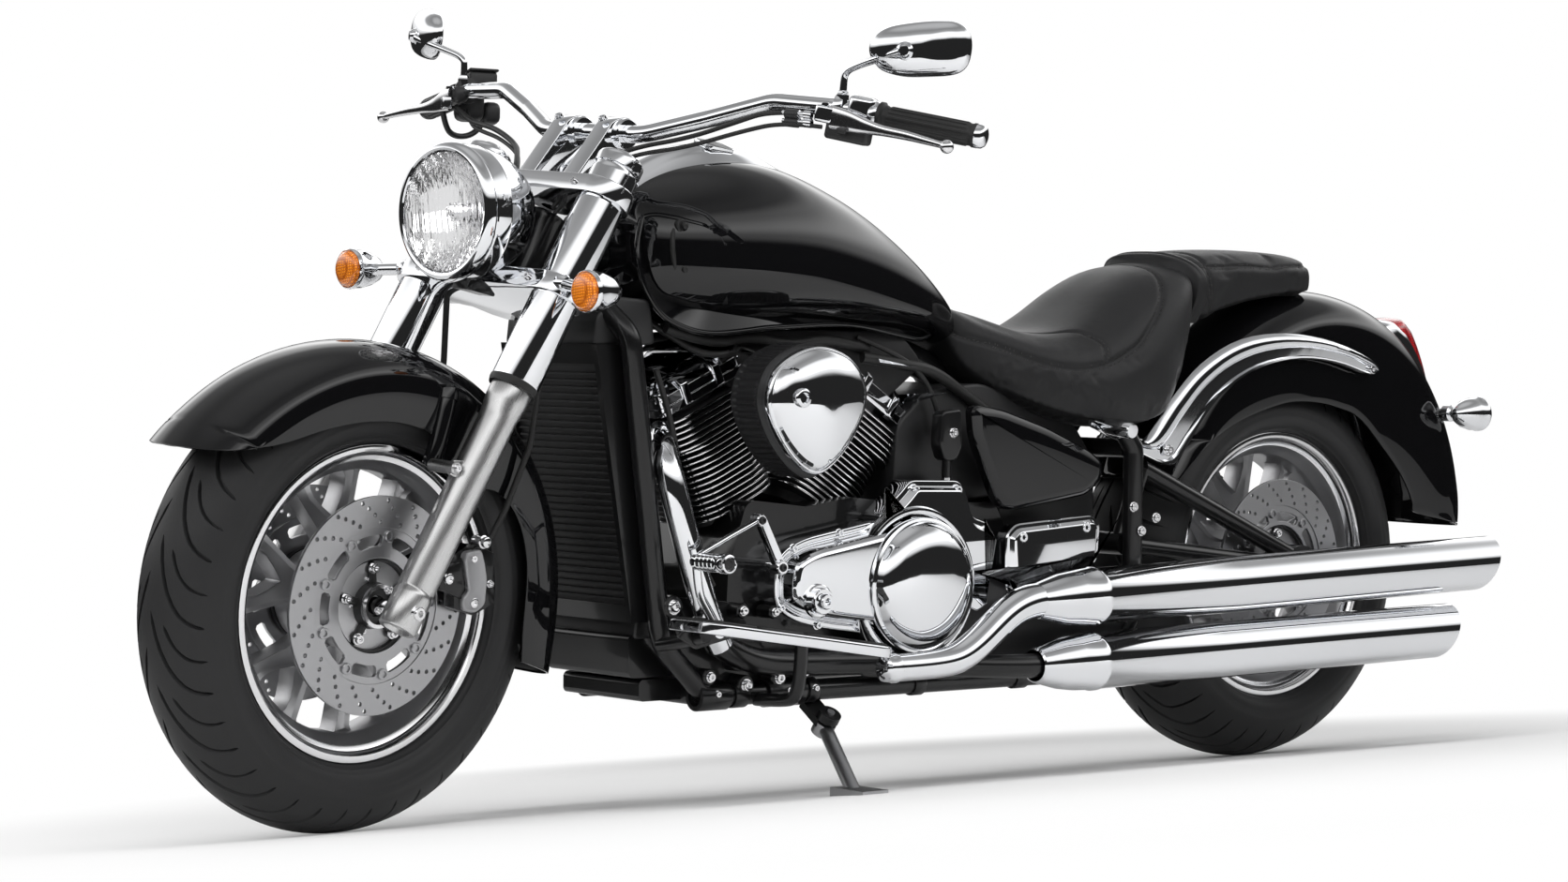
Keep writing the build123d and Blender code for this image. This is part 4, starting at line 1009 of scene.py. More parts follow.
def tank_point(row, turn):
    """A point of the tank's section; turn runs from 0 at the bottom middle right round."""
    y, half, top, wide, low = row
    angle = turn * math.tau
    side = math.sin(angle)
    rise = -math.cos(angle)
    x = half * math.copysign(abs(side) ** 0.86, side)
    if rise >= 0:
        z = wide + (top - wide) * rise ** 0.94
    else:
        z = wide - (wide - low) * abs(rise) ** 0.8
        x = x * (1 - 0.06 * abs(rise))
    return Vector((x, y, z))


def make_tank():
    def place(u, v):
        return tank_point(smooth_row(TANK, v), u)

    shell = skin("fuel_tank_shell", 72, 80, place, closed=True)
    dress(shell, black_paint, "chassis", ["fuel_tank"], 60)


make_tank()


def make_console():
    """The chrome cover along the top of the tank, with the lidded lock in it."""
    rows = (  # Y, half width, top Z above the tank, edge Z drop
        (-436, 40, 896, 24), (-425, 58, 918, 34), (-400, 64, 936, 42), (-350, 66, 958, 40),
        (-290, 66, 970, 34), (-230, 63, 968, 30), (-170, 57, 953, 26), (-110, 46, 928, 20),
        (-60, 32, 902, 12), (-20, 14, 882, 6), (-8, 4, 876, 2),
    )

    def place(u, v):
        y, half, top, drop = smooth_row(rows, v)
        across = 2 * u - 1
        ridge = 1 - abs(across) ** 2.4
        crease = 4 * max(0, 1 - abs(abs(across) - 0.55) / 0.12)
        skirt = 16 if abs(across) > 0.999 else 0
        return Vector((across * half, y, top - drop * (1 - ridge) - skirt - 0.35 * crease))

    cover = skin("tank_console_cover", 48, 60, place)
    modify(cover, "SOLIDIFY", thickness=2.5, offset=-1)
    dress(cover, chrome, "chassis", ["tank_console"], 55)
    frame_outline = [(-26, -14), (-20, -22), (20, -22), (26, -14), (26, 14), (20, 22), (-20, 22), (-26, 14)]
    base = Vector((22, -262, 963))
    slope = Vector((0, 1, -0.12)).normalized()
    lean = Vector((1, 0, -0.32)).normalized()
    lid = plate("console_lid", frame_outline, base, slope, -lean, 9, 4, 3)
    rounded(lid, 1.6, 3)
    dress(lid, chrome, "chassis", smooth=40)
    window_outline = [(-19, -14), (-14, -17), (14, -17), (19, -14), (19, 14), (14, 17), (-14, 17), (-19, 14)]
    normal = slope.cross(-lean).normalized()
    pane = plate("console_window", window_outline, base + normal * 5, slope, -lean, 2.4)
    dress(rounded(pane, 0.6), satin_black, "chassis")


make_console()


# ------------------------------------------------------------------ exhausts
def make_muffler(name, start, end, slant):
    """A long muffler: a cone from its pipe, a straight barrel and a slash-cut open mouth."""
    start, end = Vector(start), Vector(end)
    mouth_r = 44
    way = (end - start).normalized()
    side = UP.cross(way).normalized()
    length = (end - start).length
    rise = way.cross(side).normalized()
    profile = [
        (0, 24), (2, 27), (14, 30), (44, 38), (76, 42.5), (112, 44), (114, 45.6), (122, 45.6), (124, 44),
        (length * 0.4, 44.4), (length * 0.7, 44.4), (length, mouth_r), (length, 41.5), (length - 90, 41),
        (length - 92, 20), (length - 60, 19), (length - 60, 0),
    ]
    barrel = turned(name, profile, start, way, side, 64)
    for vertex in barrel.data.vertices:
        along = (vertex.co - start).dot(way)
        if along > length - 3:
            above = (vertex.co - start - way * along).dot(rise)
            vertex.co += way * (above * slant / mouth_r - abs(slant))
    return barrel


def make_exhaust():
    """Two stacked mufflers, the pipe of each cylinder and the black collector between them."""
    inlet = 206
    upper = make_muffler("upper_muffler", (230, inlet, 295), (230, 1254, 324), 19)
    lower = make_muffler("lower_muffler", (230, inlet, 198), (230, 1154, 214), 19)
    dress(joined("muffler_pair", [upper, lower]), chrome, "chassis", ["mufflers"], 40)
    front_pipe = pipe("front_header", [
        (72, -392, 548), (118, -428, 540), (152, -440, 500), (158, -426, 440), (168, -398, 340),
        (168, -376, 280), (160, -350, 248),
    ], 20.5, 4, 20)
    collector = pipe("collector", [
        (160, -352, 250), (152, -300, 224), (146, -240, 214), (146, -120, 212), (160, 0, 208), (196, 90, 202),
        (228, 160, 199), (230, 208, 198),
    ], 19, 4, 20)
    dress(collector, frame_black, "chassis", smooth=60)
    rear_pipe = pipe("rear_header", [
        (228, -84, 207), (228, -50, 207), (228, 10, 208), (229, 60, 216), (229.5, 110, 250), (230, 150, 282),
        (230, 182, 294), (230, 208, 296),
    ], 23.5, 4, 24, [0.86, 0.86, 0.9, 1, 1.04, 1.1, 1.15, 1.15])
    cap = turned("pipe_cap", [
        (0, 0), (0, 9), (3, 16), (6, 19.5), (16, 20.5), (20, 22), (26, 22), (28, 20),
    ], (228, -100, 207), ALONG, ACROSS, 32)
    dress(joined("header_pipes", [front_pipe, rear_pipe, cap]), chrome, "chassis", ["headers"], 40)


make_exhaust()


# ------------------------------------------------------------------ engine
def eased(corners, radius, steps=6):
    """A closed outline with its corners rounded."""
    points = []
    count = len(corners)
    for number in range(count):
        before, corner, after = (Vector(corners[(number + shift) % count]) for shift in (-1, 0, 1))
        back, ahead = before - corner, after - corner
        reach = min(radius, back.length * 0.48, ahead.length * 0.48)
        start, end = corner + back.normalized() * reach, corner + ahead.normalized() * reach
        for step in range(steps + 1):
            t = step / steps
            points.append(tuple(start * (1 - t) ** 2 + corner * 2 * t * (1 - t) + end * t * t))
    return points


def cover(name, outline, corner, across, up, depth, steps=()):
    """A cast cover: an outline raised to a depth, then stepped by (inset, rise) pairs."""
    corner = Vector(corner)
    trace(name, [corner + across * u + up * v for u, v in outline], closed=True)
    piece = leave()
    normal = across.cross(up).normalized()
    if piece.data.polygons[0].normal.dot(normal) < 0:
        piece.data.flip_normals()
    edit(piece)
    bpy.ops.mesh.select_mode(type="FACE")
    bpy.ops.mesh.extrude_region_move(TRANSFORM_OT_translate={"value": normal * depth})
    for inset, rise in steps:
        bpy.ops.mesh.inset(thickness=inset, depth=rise)
    bpy.ops.mesh.select_all(action="SELECT")
    bpy.ops.mesh.normals_make_consistent(inside=False)
    return leave()


def side_cover(name, outline, x, depth, steps=()):
    """A cast cover facing left; its outline has (Y, Z) points."""
    return cover(name, outline, ACROSS * x, ALONG, UP, depth, steps)


CRANK = Vector((0, -172, 295))
CYLINDERS = (("front", math.radians(-25)), ("rear", math.radians(32)))
HEAD_TOP = 343  # from the crank up to the foot of a rocker cover


def cylinder_axes(lean):
    """The way up a cylinder and the way towards the rear across it."""
    return Vector((0, math.sin(lean), math.cos(lean))), Vector((0, math.cos(lean), -math.sin(lean)))


def make_cylinder(label, lean):
    """Black barrel and head fins with machined edges."""
    rise, rear = cylinder_axes(lean)
    fins = []
    pitch, thick = 8.95, 3.2
    for number in range(19):
        head = number > 12
        half = (86, 85) if head else (80, 80)
        shift = 0 if head else (4 if label == "front" else -2)
        outline = eased([(shift - half[0], -half[1]), (shift + half[0], -half[1]), (shift + half[0], half[1]),
                         (shift - half[0], half[1])], 46 if head else 58, 8)
        fin = plate(
            "fin", [(v, u) for u, v in outline], CRANK + rise * (165 + number * pitch), ACROSS, rear, thick
        )
        fins.append(fin)
    stack = joined("fins", fins)
    rounded(stack, 0.7, 2)
    core = turned("core", [(150, 0), (150, 64), (HEAD_TOP, 64), (HEAD_TOP, 0)], CRANK, rise, ACROSS, 48)
    way = rise.normalized()

    def is_edge(face):
        out = face.center - CRANK
        return abs(face.normal.dot(way)) < 0.75 and (out - way * out.dot(way)).length > 76

    replaced = ["cylinders"] if label == "front" else []
    piece = joined(label + "_cylinder", [stack, core])
    dress(piece, satin_black, "chassis", replaced, 40, polished_alloy, is_edge)


def make_rocker_cover(label, lean):
    """A chrome rocker cover with two bands over it."""
    rise, rear = cylinder_axes(lean)
    base = CRANK + rise * HEAD_TOP
    outline = eased([(-84, -88), (84, -88), (84, 88), (-84, 88)], 26)
    box = cover(label + "_rocker_cover", outline, base, ACROSS, rear, 12, [
        (2.5, 0.5), (0, 14), (11, 11), (14, 9), (14, 3),
    ])
    rounded(box, 3, 3, 12)
    bands = []
    for place in (-34, 30):
        strap = [
            (-84, 0), (-84, 30), (-72, 42), (-58, 51), (-40, 55), (40, 55), (58, 51), (72, 42), (84, 30),
            (84, 0),
        ]
        outer = [(x * 1.012, z + 1.8) for x, z in strap]
        loop = outer + [(x * 0.93, z - 4) for x, z in strap[::-1]]
        bands.append(rounded(plate("band", loop, base + rear * (place - 7), ACROSS, rise, -14), 1.2))
    lugs = [socket_bolt("lug", base + ACROSS * x + rear * y + rise * 22, rise, 6.5, 12)
            for x in (-74, 74) for y in (-76, 76)]
    replaced = ["rocker_covers"] if label == "front" else []
    dress(joined(label + "_rocker_cover", [box, *bands, *lugs]), chrome, "chassis", replaced, 38)


for label, lean in CYLINDERS:
    make_cylinder(label, lean)
    make_rocker_cover(label, lean)


AIR_OUTLINE = (  # Y, Z of the air cleaner's edge, right round
    (-315, 603), (-300, 643), (-263, 668), (-214, 678), (-160, 661), (-128, 620), (-134, 575), (-160, 534),
    (-192, 503), (-222, 491), (-253, 503), (-283, 531), (-306, 567),
)
AIR_CENTRE = (-218, 594)


def air_point(x, u, share, drop=0):
    """A point of the air cleaner's section: u runs round its edge, share from its middle to the edge."""
    y, z = smooth_loop(AIR_OUTLINE, u)
    middle_y, middle_z = AIR_CENTRE
    return Vector((x, middle_y + (y - middle_y) * share - drop, middle_z + (z - middle_z) * share))


def make_air_cleaner():
    dome = ((204, 1.0), (212, 1.0), (218, 0.985), (221, 0.965), (221.5, 0.945), (224, 0.93), (230, 0.88),
            (237, 0.78), (243, 0.62), (247, 0.42), (249.5, 0.22), (250, 0.0))

    def place(u, v):
        x, share = smooth_row(dome, v)
        return air_point(x, u, share)

    lid = skin("air_cleaner_lid", 96, 44, place, closed=True)
    boss = side_turned("boss", [(-6, 14), (8, 14), (10, 12), (10, 8), (4, 7), (4, 0)], (240, -272, 603), 28)
    screw = socket_bolt("screw", (233, -212, 513), ACROSS, 3, 4)
    dress(joined("air_cleaner_lid", [lid, boss, screw]), chrome, "chassis", ["air_cleaner_cover"], 50)

    def pleat(u, v):
        x = 146 + v * 59
        wave = 1.02 + 0.016 * math.cos(u * math.tau * 54) if 0.12 < v < 0.9 else 1.045
        return air_point(x, u, wave, 4)

    box = skin("air_cleaner_element", 432, 14, pleat, closed=True)
    dress(box, satin_black, "chassis", ["air_cleaner_body"], 40)


make_air_cleaner()


def make_left_covers():
    """The chrome covers over the crank, clutch, gearbox and output shaft on the left."""
    outline = eased([
        (-241, 330), (-234, 374), (-190, 395), (-98, 410), (-10, 425), (60, 430), (120, 400), (142, 340),
        (140, 285), (108, 236), (40, 214), (-10, 230), (-60, 252), (-146, 263), (-205, 277), (-238, 298),
    ], 26)
    primary = side_cover(
        "primary", outline, 110, 40, [(1.5, 1.5), (7, 0), (2, -2), (2.5, 0), (5, 20), (4, 5), (5, 2.5)]
    )
    rounded(primary, 1.2, 3, 20)
    dome = side_turned("clutch_dome", [
        (168, 102), (178, 102), (182, 100.5), (184, 97), (183, 94.5), (185, 93), (192, 90), (200, 83),
        (206, 72), (210.5, 56), (213, 38), (214.5, 18), (215, 0),
    ], (0, 22, 322), 96)
    cap = side_turned("timing_cap", [
        (174, 25), (180, 25), (182, 23), (182, 19.5), (190, 19.5), (192, 18), (192, 12), (198, 11.5),
        (200, 10), (200, 5.5), (194, 5), (194, 0),
    ], (0, -180, 306), 40)
    flange_bolts = [(-206, 382), (-118, 402), (-34, 417), (-228, 296), (-158, 268), (-72, 262)]
    heads = side_bolts(148, flange_bolts, 5.5, 8)
    dress(joined("primary_chrome", [primary, dome, cap, *heads]), chrome, "chassis", ["primary_cover"], 35)
    outline = eased([
        (-44, 424), (4, 462), (20, 478), (120, 476), (136, 456), (147, 420), (183, 410), (184, 280),
        (150, 262), (60, 300),
    ], 12)
    drive = side_cover("gearbox_chrome", outline, 112, 38, [(1.5, 1.5), (8, 0), (5, 12), (3, 1)])
    rounded(drive, 1.2, 2, 20)
    arch = side_turned("arch", [
        (150, 118), (164, 118), (169, 115), (170, 111), (169, 107), (160, 105),
    ], (0, 22, 322), 72, closed=True)
    heads = side_bolts(150, ((112, 462), (26, 464), (172, 398), (172, 300), (168, 350)), 7, 10)
    dress(joined("gearbox_chrome", [drive, arch, *heads]), chrome, "chassis", ["gearbox_cover"], 35)


make_left_covers()


def make_right_covers():
    """The round alternator cover and the output cover on the right."""
    away = Vector((-1, 0, 0))
    shell = turned("right_case", [
        (110, 98), (158, 98), (166, 95), (168, 88), (168, 80), (174, 76), (184, 62), (188, 40), (189, 0),
    ], (0, -172, 312), away, UP, 72)
    second = turned("right_case_rear", [
        (110, 86), (158, 86), (166, 82), (170, 70), (174, 40), (175, 0),
    ], (0, -20, 330), away, UP, 64)
    bolt_circle = 92
    heads = []
    for turn in (60, 105, 150, 195, 240, 285):
        y = -172 + bolt_circle * math.cos(math.radians(turn))
        z = 312 + bolt_circle * math.sin(math.radians(turn))
        heads.append(socket_bolt("head", (-160, y, z), away, 5.5, 8))
    dress(joined("right_case", [shell, second, *heads]), chrome, "chassis", ["right_covers"], 35)


make_right_covers()


# ------------------------------------------------------------------ side panels
def make_side_panels():
    """The black panel under the seat and the chrome tool cover below it, on each side."""
    outline = eased([(146, 590), (204, 584), (300, 556), (392, 520), (428, 500), (424, 474), (396, 450),
                     (232, 427), (204, 438), (182, 480), (152, 540)], 18)
    panel = side_cover("side_panel", outline, 132, 14, [(3, 4), (6, 2.5), (5, 1.5)])
    rounded(panel, 2.5, 3, 8)
    panel = mirrored(panel)
    dress(panel, black_paint, "chassis", ["side_covers"], 50)
    outline = eased([(208, 392), (228, 408), (392, 419), (408, 405), (404, 352), (396, 342), (264, 331),
                     (226, 300), (208, 306)], 10)
    lid = side_cover("tool_cover", outline, 141, 20, [(2, 2), (5, 0), (5, 6), (3, 1)])
    rounded(lid, 1.5, 3, 20)
    heads = side_bolts(164, ((372, 400), (238, 388)), 8, 7)
    lid = paired("tool_cover", [lid, *heads])
    dress(lid, chrome, "chassis", ["tool_covers"], 35)


make_side_panels()


# ------------------------------------------------------------------ headlight
LAMP_CENTRE = Vector((0, 0, 858))


def make_headlight():
    """The chrome bullet with its seam and rims, the fluted glass and the bowl behind it."""
    shell = turned("headlight_chrome", [
        (-742, 84.5), (-744, 86), (-745, 89), (-744, 92), (-741, 95), (-736, 97.5), (-731, 98), (-727, 96),
        (-726, 93.5), (-724, 93.5), (-722, 95), (-712, 96), (-700, 95.5), (-699, 94.6), (-698, 95.4),
        (-676, 91), (-652, 82), (-632, 69), (-618, 53), (-612, 38), (-610, 20), (-610, 0), (-690, 0),
        (-700, 60), (-738, 84),
    ], LAMP_CENTRE, ALONG, UP, 96)
    dress(shell, chrome, "fork", ["headlight_shell"], 30)
    bowl = turned("headlight_bowl", [
        (-738, 83.6), (-728, 74), (-716, 60), (-706, 42), (-700, 24), (-698, 11),
    ], LAMP_CENTRE, ALONG, UP, 64)
    dress(bowl, lamp_silver, "fork", smooth=60)
    bulb = turned("headlight_bulb", [
        (-699, 11), (-712, 11), (-714, 13), (-718, 13), (-720, 9), (-726, 8.5), (-730, 5), (-731, 0),
    ], LAMP_CENTRE, ALONG, UP, 28)
    dress(bulb, polished_alloy, "fork", smooth=40)
    lens = turned("headlight_glass", [
        (-739, 83.4), (-743, 83), (-748, 70), (-752, 50), (-754.5, 26), (-755.5, 0),
    ], LAMP_CENTRE, ALONG, UP, 72)
    dress(lens, lens_glass, "fork", ["headlight_lens"], 50)


def make_lens_glass():
    """Clear glass with upright flutes moulded in it."""
    finish = Finish("lens_glass", IOR=1.08, Roughness=0.0, Transmission_Weight=1.0, Coat_Weight=0.5)
    bands = node(finish.tree, "TexWave", [
        ("Vector", finish.place), ("Scale", 42), ("Distortion", 0),
    ], wave_type="BANDS", bands_direction="X", wave_profile="SIN")
    return finish.bumped(bands.outputs["Fac"], 0.004, 0.8).material


def make_lamp_silver():
    """The bright bowl of a lamp, with the streaks of its facets."""
    finish = Finish("lamp_silver", Metallic=1.0).mottled((0.96, 0.96, 0.97), 14, 0.03, 0.05, 0.04)
    facets = node(finish.tree, "TexWave", [
        ("Vector", finish.place), ("Scale", 20), ("Distortion", 0.6), ("Detail", 0),
    ], wave_type="BANDS", bands_direction="X")
    return finish.bumped(facets.outputs["Fac"], 0.0025, 0.5).material


lens_glass, lamp_silver = make_lens_glass(), make_lamp_silver()
make_headlight()


# ------------------------------------------------------------------ indicators
def make_indicator(name, at, way, glass_finish, body):
    """A chrome bullet with a domed, ribbed lens facing one way; at is the middle of its rim."""
    shell = turned(name, [
        (0, 25.5), (-2, 27.5), (0, 29), (3, 29.5), (6, 29), (8, 27.8), (20, 27.5), (36, 24), (50, 17.5),
        (60, 9), (64, 0), (2, 0), (0, 24),
    ], at, -way, UP, 48)
    lens = turned(name + "_lens", [
        (0.5, 25.6), (-4, 25.2), (-7, 22), (-8, 20), (-9.5, 14), (-10.5, 7), (-11, 0),
    ], at, -way, UP, 40)
    dress(lens, glass_finish, body, smooth=50)
    return shell


def make_indicators():
    """The amber pair on the fork and the red pair behind the rear fender, each on its stalk."""
    front = []
    for side, label in ((1, "left"), (-1, "right")):
        at = Vector((side * 250, -698, 764))
        front.append(make_indicator(label + "_front_indicator", at, -ALONG, amber_lens, "fork"))
        stalk = pipe("stalk", [
            (side * 158, -664, 770), (side * 190, -668, 768), (side * 222, -672, 765), (side * 236, -674, 764)
        ], 8.5, 3, 16)
        collar = turned(
            "collar", [(0, 12), (12, 12), (16, 9)], (side * 160, -664, 770), ACROSS * side, UP, 24
        )
        front += [stalk, collar]
    dress(joined("front_indicator_shells", front), chrome, "fork", ["front_indicators", "front_lenses"], 40)
    rear = []
    for side, label in ((1, "left"), (-1, "right")):
        at = Vector((side * 150, 1322, 571))
        rear.append(make_indicator(label + "_rear_indicator", at, ALONG, red_lens, "chassis"))
        rear.append(pipe(
            "stalk", [(side * 52, 1296, 571), (side * 90, 1297, 571), (side * 128, 1298, 571)], 9, 3, 16
        ))
        rear.append(turned(
            "collar", [(96, 9), (98, 14), (112, 14), (116, 9)], (0, 1297, 571), ACROSS * side, UP, 24
        ))
    dress(joined("rear_indicator_shells", rear), chrome, "chassis", ["rear_indicators", "rear_lenses"], 40)


make_indicators()


# ------------------------------------------------------------------ seat
RIDER_PAD = (  # Y, half width, crown Z, widest Z, bottom Z, half width at the bottom
    (172, 40, 748, 732, 712, 34), (178, 56, 752, 728, 697, 48), (200, 74, 745, 704, 652, 66),
    (240, 98, 729, 676, 618, 90), (290, 124, 711, 658, 592, 114), (340, 144, 701, 645, 574, 134),
    (400, 156, 706, 640, 561, 144), (460, 160, 735, 645, 555, 148), (520, 159, 774, 660, 556, 145),
    (574, 152, 802, 694, 572, 137), (620, 139, 814, 738, 625, 126), (648, 122, 816, 764, 682, 112),
    (664, 102, 813, 780, 724, 92), (671, 66, 804, 784, 752, 56),
)
PILLION = (
    (664, 60, 806, 786, 764, 52), (669, 88, 820, 778, 742, 84), (680, 102, 828, 776, 726, 98),
    (706, 105, 833, 783, 726, 101), (760, 104, 837, 792, 742, 101), (830, 102, 838, 797, 757, 98),
    (900, 98, 836, 800, 766, 93), (945, 91, 833, 797, 768, 85), (974, 80, 828, 794, 768, 73),
    (990, 62, 818, 790, 770, 56), (997, 36, 806, 787, 774, 30),
)


def pad_point(row, turn, swell=0.0):
    """A point of a pad's section: turn is 0 at the bottom middle, 0.5 at the crown."""
    y, half, top, wide, low, foot = row
    angle = turn * math.tau
    side, rise = math.sin(angle), -math.cos(angle)
    if rise >= 0:
        x = half * math.copysign(abs(side) ** 0.72, side)
        z = wide + (top - wide) * rise ** 0.8
    else:
        x = math.copysign(foot + (half - foot) * (1 - abs(rise) ** 2), side) * min(1, abs(side) * 2.2)
        z = wide - (wide - low) * min(1, abs(rise) * 1.25)
    away = Vector((side, 0, rise)) * swell
    return Vector((x, y, z)) + away


SETTLING = 20  # frames that the cloth is given


def quilted(piece, voxel, pressure, cap):
    """Remeshed, then blown up as cloth over foam, where no point moves further than the cap."""
    modify(piece, "REMESH", mode="VOXEL", voxel_size=voxel)
    start = [vertex.co.copy() for vertex in piece.data.vertices]
    swell = piece.modifiers.new("swell", "CLOTH")
    swell.settings.effector_weights.gravity = 0
    swell.settings.use_pressure = True
    swell.settings.uniform_pressure_force = pressure
    for number in range(SETTLING):
        bpy.context.scene.frame_set(number + 1)
    shaped = piece.evaluated_get(bpy.context.evaluated_depsgraph_get())
    ends = [vertex.co.copy() for vertex in shaped.data.vertices]
    piece.modifiers.remove(swell)
    bpy.context.scene.frame_set(1)
    for vertex, before, after in zip(piece.data.vertices, start, ends):
        shift = after - before
        vertex.co = before + shift * (cap / max(shift.length, cap))
    modify(piece, "SUBSURF", levels=1, render_levels=1)


def traced(piece, route, steps):
    """Points on a padded piece's skin, evenly along a route given on the upright machine."""
    points = []
    for step in range(steps + 1):
        near = STANDING @ Vector(smooth_row(route, step / steps))
        points.append(piece.closest_point_on_mesh(near)[1:3])
    return points


def pressed(piece, lines, depth, width):
    """Draws the skin in along lines, as a sewn seam does."""
    points = [point for line in lines for point, _ in line]
    tree = KDTree(len(points))
    for number, point in enumerate(points):
        tree.insert(point, number)
    tree.balance()
    moves = []
    for vertex in piece.data.vertices:
        away = tree.find(vertex.co)[2]
        moves.append(vertex.normal * depth * math.exp(-((away / width) ** 2)) if away < width * 3 else None)
    for vertex, move in zip(piece.data.vertices, moves):
        if move:
            vertex.co -= move


STITCH_SPACING, STITCH_HALF_LENGTH, STITCH_HALF_WIDTH, STITCH_HEIGHT = 0.0052, 0.0019, 0.00045, 0.0009
STITCH_FACES = ((0, 3, 4, 1), (1, 4, 5, 2), (0, 1, 2), (3, 5, 4), (0, 2, 5, 3))


def stitched(name, lines):
    """A row of short threads along each line, lying in the seam."""
    verts, faces = [], []
    for line in lines:
        travelled = 0
        for (here, normal), (there, _) in zip(line, line[1:]):
            step = there - here
            travelled += step.length
            if travelled < STITCH_SPACING or step.length < 1e-6:
                continue
            travelled = 0
            along = step.normalized() * STITCH_HALF_LENGTH
            side = along.cross(normal).normalized() * STITCH_HALF_WIDTH
            top = normal * STITCH_HEIGHT
            first = len(verts)
            for end in (-1, 1):
                verts += [
                    here + along * end + side, here + along * end * 0.7 + top, here + along * end - side,
                ]
            faces += [[first + corner for corner in face] for face in STITCH_FACES]
    mesh = bpy.data.meshes.new(name)
    mesh.from_pydata(verts, [], faces)
    piece = bpy.data.objects.new(name, mesh)
    bpy.context.scene.collection.objects.link(piece)
    mesh.materials.append(thread)
    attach(piece, "chassis")


def make_pad(name, rows, replaced, seams):
    """A leather pad with its sewn seams; seams are routes given for the left side."""
    piece = skin(name, 72, 72, lambda u, v: pad_point(smooth_row(rows, v), u, -3), closed=True)
    dress(piece, leather, "chassis", replaced, 60)
    quilted(piece, 0.0055, 4, 0.005)
    routes = seams + [[(-x, y, z) for x, y, z in seam] for seam in seams]
    lines = [traced(piece, route, 260) for route in routes]
    pressed(piece, lines, 0.0032, 0.0045)
    stitched(name + "_stitches", [traced(piece, route, 400) for route in routes])
    only(piece)
    bpy.ops.object.shade_smooth()


def make_strap():
    """The belt sewn over the step between the two pads."""
    width = 24

    def place(u, v):
        side = math.sin(u * math.tau)
        front = 640 + 32 * min(1, abs(side)) ** 2.2
        row = (front, 107, 830 if v > 0.5 else 827, 776, 722, 102)
        edge = 1 - (2 * v - 1) ** 6
        spot = pad_point(row, u, 1.5 + 2.5 * edge)
        spot.y = front + width * v
        return spot

    strap = skin("seat_strap", 90, 16, place, closed=True)
    dress(strap, leather, "chassis", smooth=50)


make_pad(
    "rider_seat_pad", RIDER_PAD, ["rider_seat"],
    [[(0, 180, 754), (44, 180, 720), (62, 192, 694), (98, 243, 680), (120, 286, 663), (138, 328, 650),
      (150, 370, 645), (156, 415, 650), (159, 455, 663), (157, 500, 687), (150, 536, 722), (136, 566, 757),
      (104, 590, 790), (60, 604, 808), (0, 612, 814)],
     [(60, 300, 704), (78, 386, 699), (97, 410, 702), (126, 425, 696), (142, 432, 687), (152, 432, 673),
      (158, 428, 652)],
     ]
)
make_pad("pillion_pad_cover", PILLION, ["pillion_pad"], [[
    (86, 676, 812), (96, 716, 812), (97, 780, 814), (95, 850, 815), (89, 905, 816), (76, 952, 815),
    (44, 980, 811), (0, 990, 809),
], [(0, 700, 834), (60, 704, 824), (98, 708, 800), (106, 712, 770), (103, 716, 735)],])
make_strap()


# ------------------------------------------------------------------ handlebar
BAR_END, BAR_KNEE, PERCH = Vector((580, -278, 1002)), Vector((470, -322, 1018)), Vector((390, -366, 1032))
GRIP_ROOT = Vector((441, -339, 1023))


def brick(name, centre, along, up, size, edge, segments=3):
    """A block with rounded edges; size is along, across and up."""
    along = along.normalized()
    side = up.cross(along).normalized()
    up = along.cross(side)
    deselect()
    bpy.ops.mesh.primitive_cube_add(size=1)
    piece = bpy.context.object
    piece.name = name
    for vertex in piece.data.vertices:
        x, y, z = (part * share for part, share in zip(vertex.co, size))
        vertex.co = Vector(centre) + along * x + side * y + up * z
    edit(piece)
    bpy.ops.mesh.normals_make_consistent(inside=False)
    leave()
    return rounded(piece, edge, segments)


def make_grips():
    """The ribbed grips and the chrome caps at the bar's ends."""
    way = (GRIP_ROOT - BAR_END).normalized()
    side = way.orthogonal().normalized()
    other = way.cross(side)
    length = (GRIP_ROOT - BAR_END).length

    def place(u, v):
        along = 10 + v * (length - 10)
        angle = u * math.tau
        ribs = 0.5 + 0.5 * math.tanh(4 * math.cos(angle * 14))
        inside = min(1, max(0, (v - 0.08) / 0.02)) * min(1, max(0, (0.9 - v) / 0.02))
        flange = 3.5 if v > 0.965 else 0
        radius = 15.6 + 1.5 * ribs * inside + (1.4 if v < 0.05 or v > 0.93 else 0) + flange
        return BAR_END + way * along + (side * math.cos(angle) + other * math.sin(angle)) * radius

    grip = mirrored(skin("bar_grips", 224, 60, place, closed=True))
    dress(grip, black_rubber, "fork", ["grips"], 40)
    cap = turned("bar_end_caps", [
        (-4, 0), (-4, 9), (-2, 13.5), (2, 16.2), (9, 17), (11, 17), (11, 12),
    ], BAR_END, way, side, 40)
    dress(mirrored(cap), chrome, "fork", smooth=40)


MIRROR_EDGE = (  # across and up from the ball joint: the shell's edge
    (-48, -2), (-44, 22), (-20, 38), (22, 45), (64, 47), (94, 43), (112, 29), (117, 6), (110, -22), (90, -35),
    (50, -38), (6, -37), (-30, -26),
)
MIRROR_DOME = (  # share of the edge and rise behind it, from the rim to the middle of the back
    (0.93, -17), (0.985, -16), (1.0, -13), (1.0, -9), (0.985, -6), (0.93, 0), (0.78, 8), (0.55, 14),
    (0.28, 17), (0.0, 18),
)
MIRROR_JOINT = Vector((505, -362, 1113))
MIRROR_ACROSS, MIRROR_UP = Vector((0.86, 0.5, 0.06)).normalized(), Vector((-0.05, 0.0, 1)).normalized()
MIRROR_BACK = MIRROR_ACROSS.cross(MIRROR_UP).normalized()


